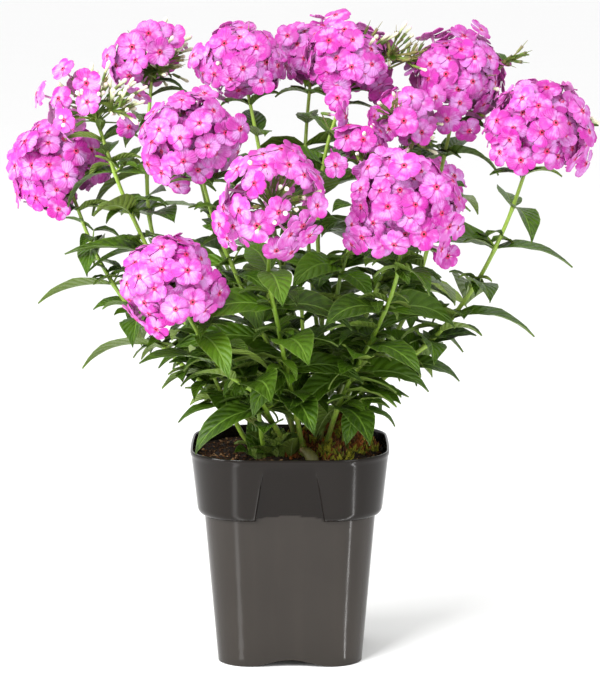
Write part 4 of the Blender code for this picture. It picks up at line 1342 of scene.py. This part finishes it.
class Head:
    """One flower head in the making: its florets, and its green parts with the buds."""

    def __init__(self, stem, shapes, calyx):
        self.stem = stem
        self.shapes = shapes
        self.calyx = calyx
        self.top = stem.head + stem.axis * stem.core * 0.3
        self.look = random.Random(f"{SEED}{stem.name}looks")
        self.flowers = Piece()
        self.greens = Piece()

    def add_blossom(self, shape, centre, axis, size):
        """The petals and tube of a floret."""
        points, faces, uv, tone = shape
        tone = np.clip(tone + (self.look.random(), 0, 0), 0, 1)
        spot = rotated(points * size, axis, self.look.uniform(0, math.tau), centre)
        self.flowers.add(spot, faces, uv, 0, tone)

    def add_calyx(self, foot, axis, size, tone):
        points, faces, uv = self.calyx
        self.greens.add(rotated(points * size, axis, self.look.uniform(0, 6), foot), faces, uv, 0, tone)

    def add_floret(self, start, centre, facing):
        """One open floret with its calyx and its stalk."""
        shape = self.look.choice(self.shapes)
        axis = facing.normalized()
        size = FLORET_RADIUS * self.look.uniform(*FLORET_SIZE)
        self.add_blossom(shape, centre, axis, size)
        foot = centre - axis * size * CALYX_PLACE
        tone = (self.look.random(), 0, 0)
        self.add_calyx(foot, axis, 1, tone)
        stalk(self.greens, start, foot - axis * 8, axis, 0.55, tone)

    def add_bud(self, start, foot, axis, spent):
        """A closed bud or a spent calyx at its foot, with a stalk from the head's axis."""
        look = self.look
        tone = (look.random(), 0, 0.5 * look.random() if spent else 0)
        self.add_calyx(foot, axis, look.uniform(0.8, 1.0), tone)
        stalk(self.greens, start, foot - axis * 7, axis, 0.5, tone)
        if spent:
            line = [foot - axis * 3, foot + axis * 4, foot + axis * look.uniform(6, 9)]
            self.greens.add(*swept(line, (0.35, 0.3, 0.15), 4), 0, tone=tone)
            return
        length = look.uniform(7, 15)
        line = [foot + axis * (length * share - 3) for share in BUD_SHARES]
        self.greens.add(*swept(line, np.array(BUD_RADII) * look.uniform(0.8, 1.1), 8), 1, tone=tone)

    def add_side_bud(self, start, direction):
        """A bud or a spent calyx towards one side of the head."""
        stem = self.stem
        axis = (direction + jitter(self.look, 0.35) + stem.axis * 0.3).normalized()
        foot = stem.head + axis * stem.radius * self.look.uniform(*BUD_REACH)
        self.add_bud(start, foot, axis, self.look.random() < stem.spent / (stem.buds + stem.spent))

    def add_bunch(self, place, spread, count, share):
        """A bunch of buds and spent calyxes on one branch."""
        seat, place = self.stem.seat, Vector(place)
        root = bunch_root(seat, place, spread)
        stalk(self.greens, seat, root, (root - seat).normalized(), 0.8, (0.5, 0, 0))
        for _ in range(count):
            foot = place + jitter(self.look, spread)
            axis = ((foot - root).normalized() + jitter(self.look, 0.3)).normalized()
            self.add_bud(root, foot, axis, self.look.random() < share)

    def add_dome(self, spin):
        """The florets all over the head, and buds where its bud side is."""
        stem, look = self.stem, self.look
        total = stem.florets + (stem.buds + stem.spent) // 2
        directions = []
        for number in range(total):
            stray = Vector([look.gauss(0, FLORET_STRAY) for _ in range(3)])
            directions.append((head_direction(number, total, stem.axis, spin) + stray).normalized())
        directions.sort(key=lambda direction: direction.dot(stem.bud_side) + look.uniform(-0.2, 0.2))
        for number, direction in enumerate(directions):
            height = direction.dot(stem.axis)
            start = stem.seat.lerp(self.top, min(max(0.25 + 0.6 * height, 0), 1))
            if number >= stem.florets:
                for _ in range(2):
                    self.add_side_bud(start, direction)
                continue
            reach = head_reach(stem, direction) * look.uniform(*(LOOSE_REACH if stem.loose else DENSE_REACH))
            reach *= 1 + min(CLUMP_DEPTH * noise.noise(direction * CLUMPS + stem.seat), CLUMP_MOST)
            tilt = jitter(look, FLORET_TILT)
            if look.random() < STRAY_SHARE:
                reach *= STRAY_REACH
            facing = direction + tilt + TO_LIGHT * max(0.4 - direction.y, 0)
            self.add_floret(start, stem.head + direction * reach, facing)

    def add_inner(self, spin, shapes):
        """Plainer florets further in, behind the gaps of a dense head."""
        stem = self.stem
        count = 0 if stem.loose else stem.florets * 2 // 3
        for number in range(count):
            direction = head_direction(number, count, stem.axis, spin)
            shape = self.look.choice(shapes)
            centre = stem.head + direction * head_reach(stem, direction) * self.look.uniform(*INNER_REACH)
            self.add_blossom(shape, centre, direction, FLORET_RADIUS)

    def add_by_hand(self):
        """The florets and bunches of buds that have their own places in the tables."""
        stem = self.stem
        for right, up in FRONT_FLORETS.get(stem.name, ()):
            centre, facing = front_place(stem, right, up)
            self.add_floret(stem.seat.lerp(self.top, 0.4), centre, facing + jitter(self.look, FLORET_TILT))
        for place, facing in SINGLE_FLORETS.get(stem.name, ()):
            self.add_floret(stem.seat, Vector(place), Vector(facing))
        for bunch in BUD_BUNCHES.get(stem.name, ()):
            self.add_bunch(*bunch)


def make_head(stem, shapes, plain_shapes, calyx, finishes):
    """A flower head as two pieces: the florets, and the green parts with the buds."""
    spin = random.Random(f"{SEED}{stem.name}florets").uniform(0, math.tau)
    head = Head(stem, shapes, calyx)
    head.add_dome(spin)
    head.add_inner(spin + 1, plain_shapes)
    head.add_by_hand()
    line = [stem.seat - stem.axis * 2, stem.seat.lerp(head.top, 0.5), head.top]
    head.greens.add(*swept(line, (STEM_TOP_RADIUS, 1.9, 1.0), 8), 0, tone=(0.8, 0, 0))
    blossom = head.flowers.build("florets_" + stem.name, [finishes["petal"]])
    green = head.greens.build("flower_stalks_" + stem.name, [finishes["calyx"], finishes["bud"]])
    return blossom, green


def front_place(stem, right, up):
    """A place on the front of a head as the camera sees it, and the direction that the head faces there."""
    depth = math.sqrt(max((FRONT_REACH * stem.radius) ** 2 - right ** 2 - up ** 2, 0))
    offset = Vector((right, -depth, up + depth * math.tan(CAMERA_PITCH)))
    return stem.head + offset, Vector((right, -depth - 14, up)).normalized()


def bunch_root(seat, place, spread):
    """Where the stalks of a bunch part, short of its middle."""
    return place + (seat - place).normalized() * spread * 1.1


# Light, floor and camera


def area_light(name, place, target, size, power):
    """A white lamp of this size in metres, pointed at its target."""
    data = bpy.data.lights.new(name, "AREA")
    data.shape = "RECTANGLE"
    data.size, data.size_y = size
    data.energy = power
    lamp = bpy.data.objects.new(name, data)
    lamp.location = place
    lamp.rotation_mode = "QUATERNION"
    lamp.rotation_quaternion = (Vector(target) - Vector(place)).to_track_quat("-Z", "Y")
    bpy.context.scene.collection.objects.link(lamp)
    return lamp


def floor_strip(name, foot, azimuth, width, strength):
    """A narrow light on the floor that widens away from the pot, whose leaning walls mirror it as a line."""
    heading = Vector((math.sin(math.radians(azimuth)), -math.cos(math.radians(azimuth)), 0))
    for number, (near, far, share, bright) in enumerate(STRIP_PARTS):
        middle = Vector((*foot, 0.002)) + heading * (near + far) / 2
        size = (width * share, far - near)
        power = strength * bright * math.pi * size[0] * size[1]
        lamp = area_light(f"{name}_{number}", middle, middle + Vector((0, 0, 1)), size, power)
        lamp.rotation_quaternion = heading.to_track_quat("Y", "Z") @ Quaternion((0, 1, 0), math.pi)
        lamp.visible_camera = False


def studio():
    """A white room: even light from all round, three soft lamps, and narrow lights on the floor."""
    world = bpy.data.worlds.new("studio")
    world.use_nodes = True
    background = world.node_tree.nodes["Background"]
    background.inputs[0].default_value = (1, 1, 1, 1)
    background.inputs[1].default_value = 1.0
    bpy.context.scene.world = world
    for lamp in LAMPS:
        area_light(*lamp)
    for light in FLOOR_LIGHTS:
        floor_strip(*light)
    view = bpy.context.scene.view_settings
    view.view_transform = "Standard"
    view.look = "None"


def make_floor():
    """A plain pale floor, which is only a stage."""
    bpy.ops.mesh.primitive_plane_add(size=80, location=(0, 0, 0))
    floor = bpy.context.object
    floor.name = "floor"
    g = Graph("floor_white", 0.9)
    g.colour(g.mix(g.noise(3, 2), (0.955, 0.955, 0.955), (0.97, 0.97, 0.97)))
    floor.data.materials.append(g.material)


def make_camera():
    """The camera, where the photograph was taken from."""
    data = bpy.data.cameras.new("camera")
    data.lens = CAMERA_LENS
    data.clip_end = 200
    camera = bpy.data.objects.new("camera", data)
    camera.location = CAMERA_PLACE
    camera.rotation_euler = (math.pi / 2 - CAMERA_PITCH, 0, 0)
    bpy.context.scene.collection.objects.link(camera)
    bpy.context.scene.camera = camera


def dress(piece, slot, *nodes):
    """Puts a piece on the plant's body, in the place of the solids of the nodes, if it stands for any."""
    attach(piece, "root")
    if nodes:
        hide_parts(*nodes)


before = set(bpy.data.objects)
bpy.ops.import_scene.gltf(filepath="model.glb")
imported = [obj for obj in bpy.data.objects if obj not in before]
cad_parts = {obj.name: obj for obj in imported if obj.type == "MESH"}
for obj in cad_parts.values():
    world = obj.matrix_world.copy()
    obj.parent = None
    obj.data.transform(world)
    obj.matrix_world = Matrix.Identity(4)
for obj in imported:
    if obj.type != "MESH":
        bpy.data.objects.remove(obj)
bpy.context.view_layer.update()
make_camera()
studio()
make_floor()

dress(make_pot(plastic_finish()), "pot_plastic", "pot")
dress(make_soil(soil_finish()), "soil", "soil")
dress(make_crown([moss_finish(), stub_finish()]), "soil")

green_finishes = [stem_finish(), leaf_finish()]
dress(make_basal_leaves(green_finishes), "foliage")
for stem in STEMS:
    path = stem_path(stem.foot, stem.via, stem.seat - stem.axis * STEM_SEAT)
    spots = leaf_bases(path, stem.first, LEAF_SPACING[:stem.pairs], LOWEST_LEAF)
    pairs = [(spot, stem.face + math.pi / 2 * (number + 1), LEAF_LENGTHS[number])
             for number, spot in enumerate(spots)]
    made = leafy_stem("stem_" + stem.name, path, STEM_FOOT_RADIUS, STEM_TOP_RADIUS, pairs, green_finishes, 4)
    dress(made, "foliage", "stem_" + stem.name)
for name, foot, tip, count, spacing, longest in SHOOTS:
    path = shoot_path(foot, tip)
    made = leafy_stem(name, path, SHOOT_FOOT_RADIUS, SHOOT_TOP_RADIUS,
                      shoot_pairs(path, count, spacing, longest), green_finishes, 3)
    made.name = "leafy_" + name
    dress(made, "foliage", name)

shape_draw = random.Random(f"{SEED}shapes")
floret_shapes = [floret_shape(shape_draw) for _ in range(FLORET_VARIANTS)]
plain_shapes = [floret_shape(shape_draw, PLAIN_PETAL, 3) for _ in range(FLORET_VARIANTS)]
head_finishes = {"petal": petal_finish(), "calyx": calyx_finish(), "bud": bud_finish()}
for stem in STEMS:
    blossom, green = make_head(stem, floret_shapes, plain_shapes, calyx_shape(), head_finishes)
    dress(blossom, "petals", "head_" + stem.name)
    dress(green, "foliage", "head_" + stem.name)
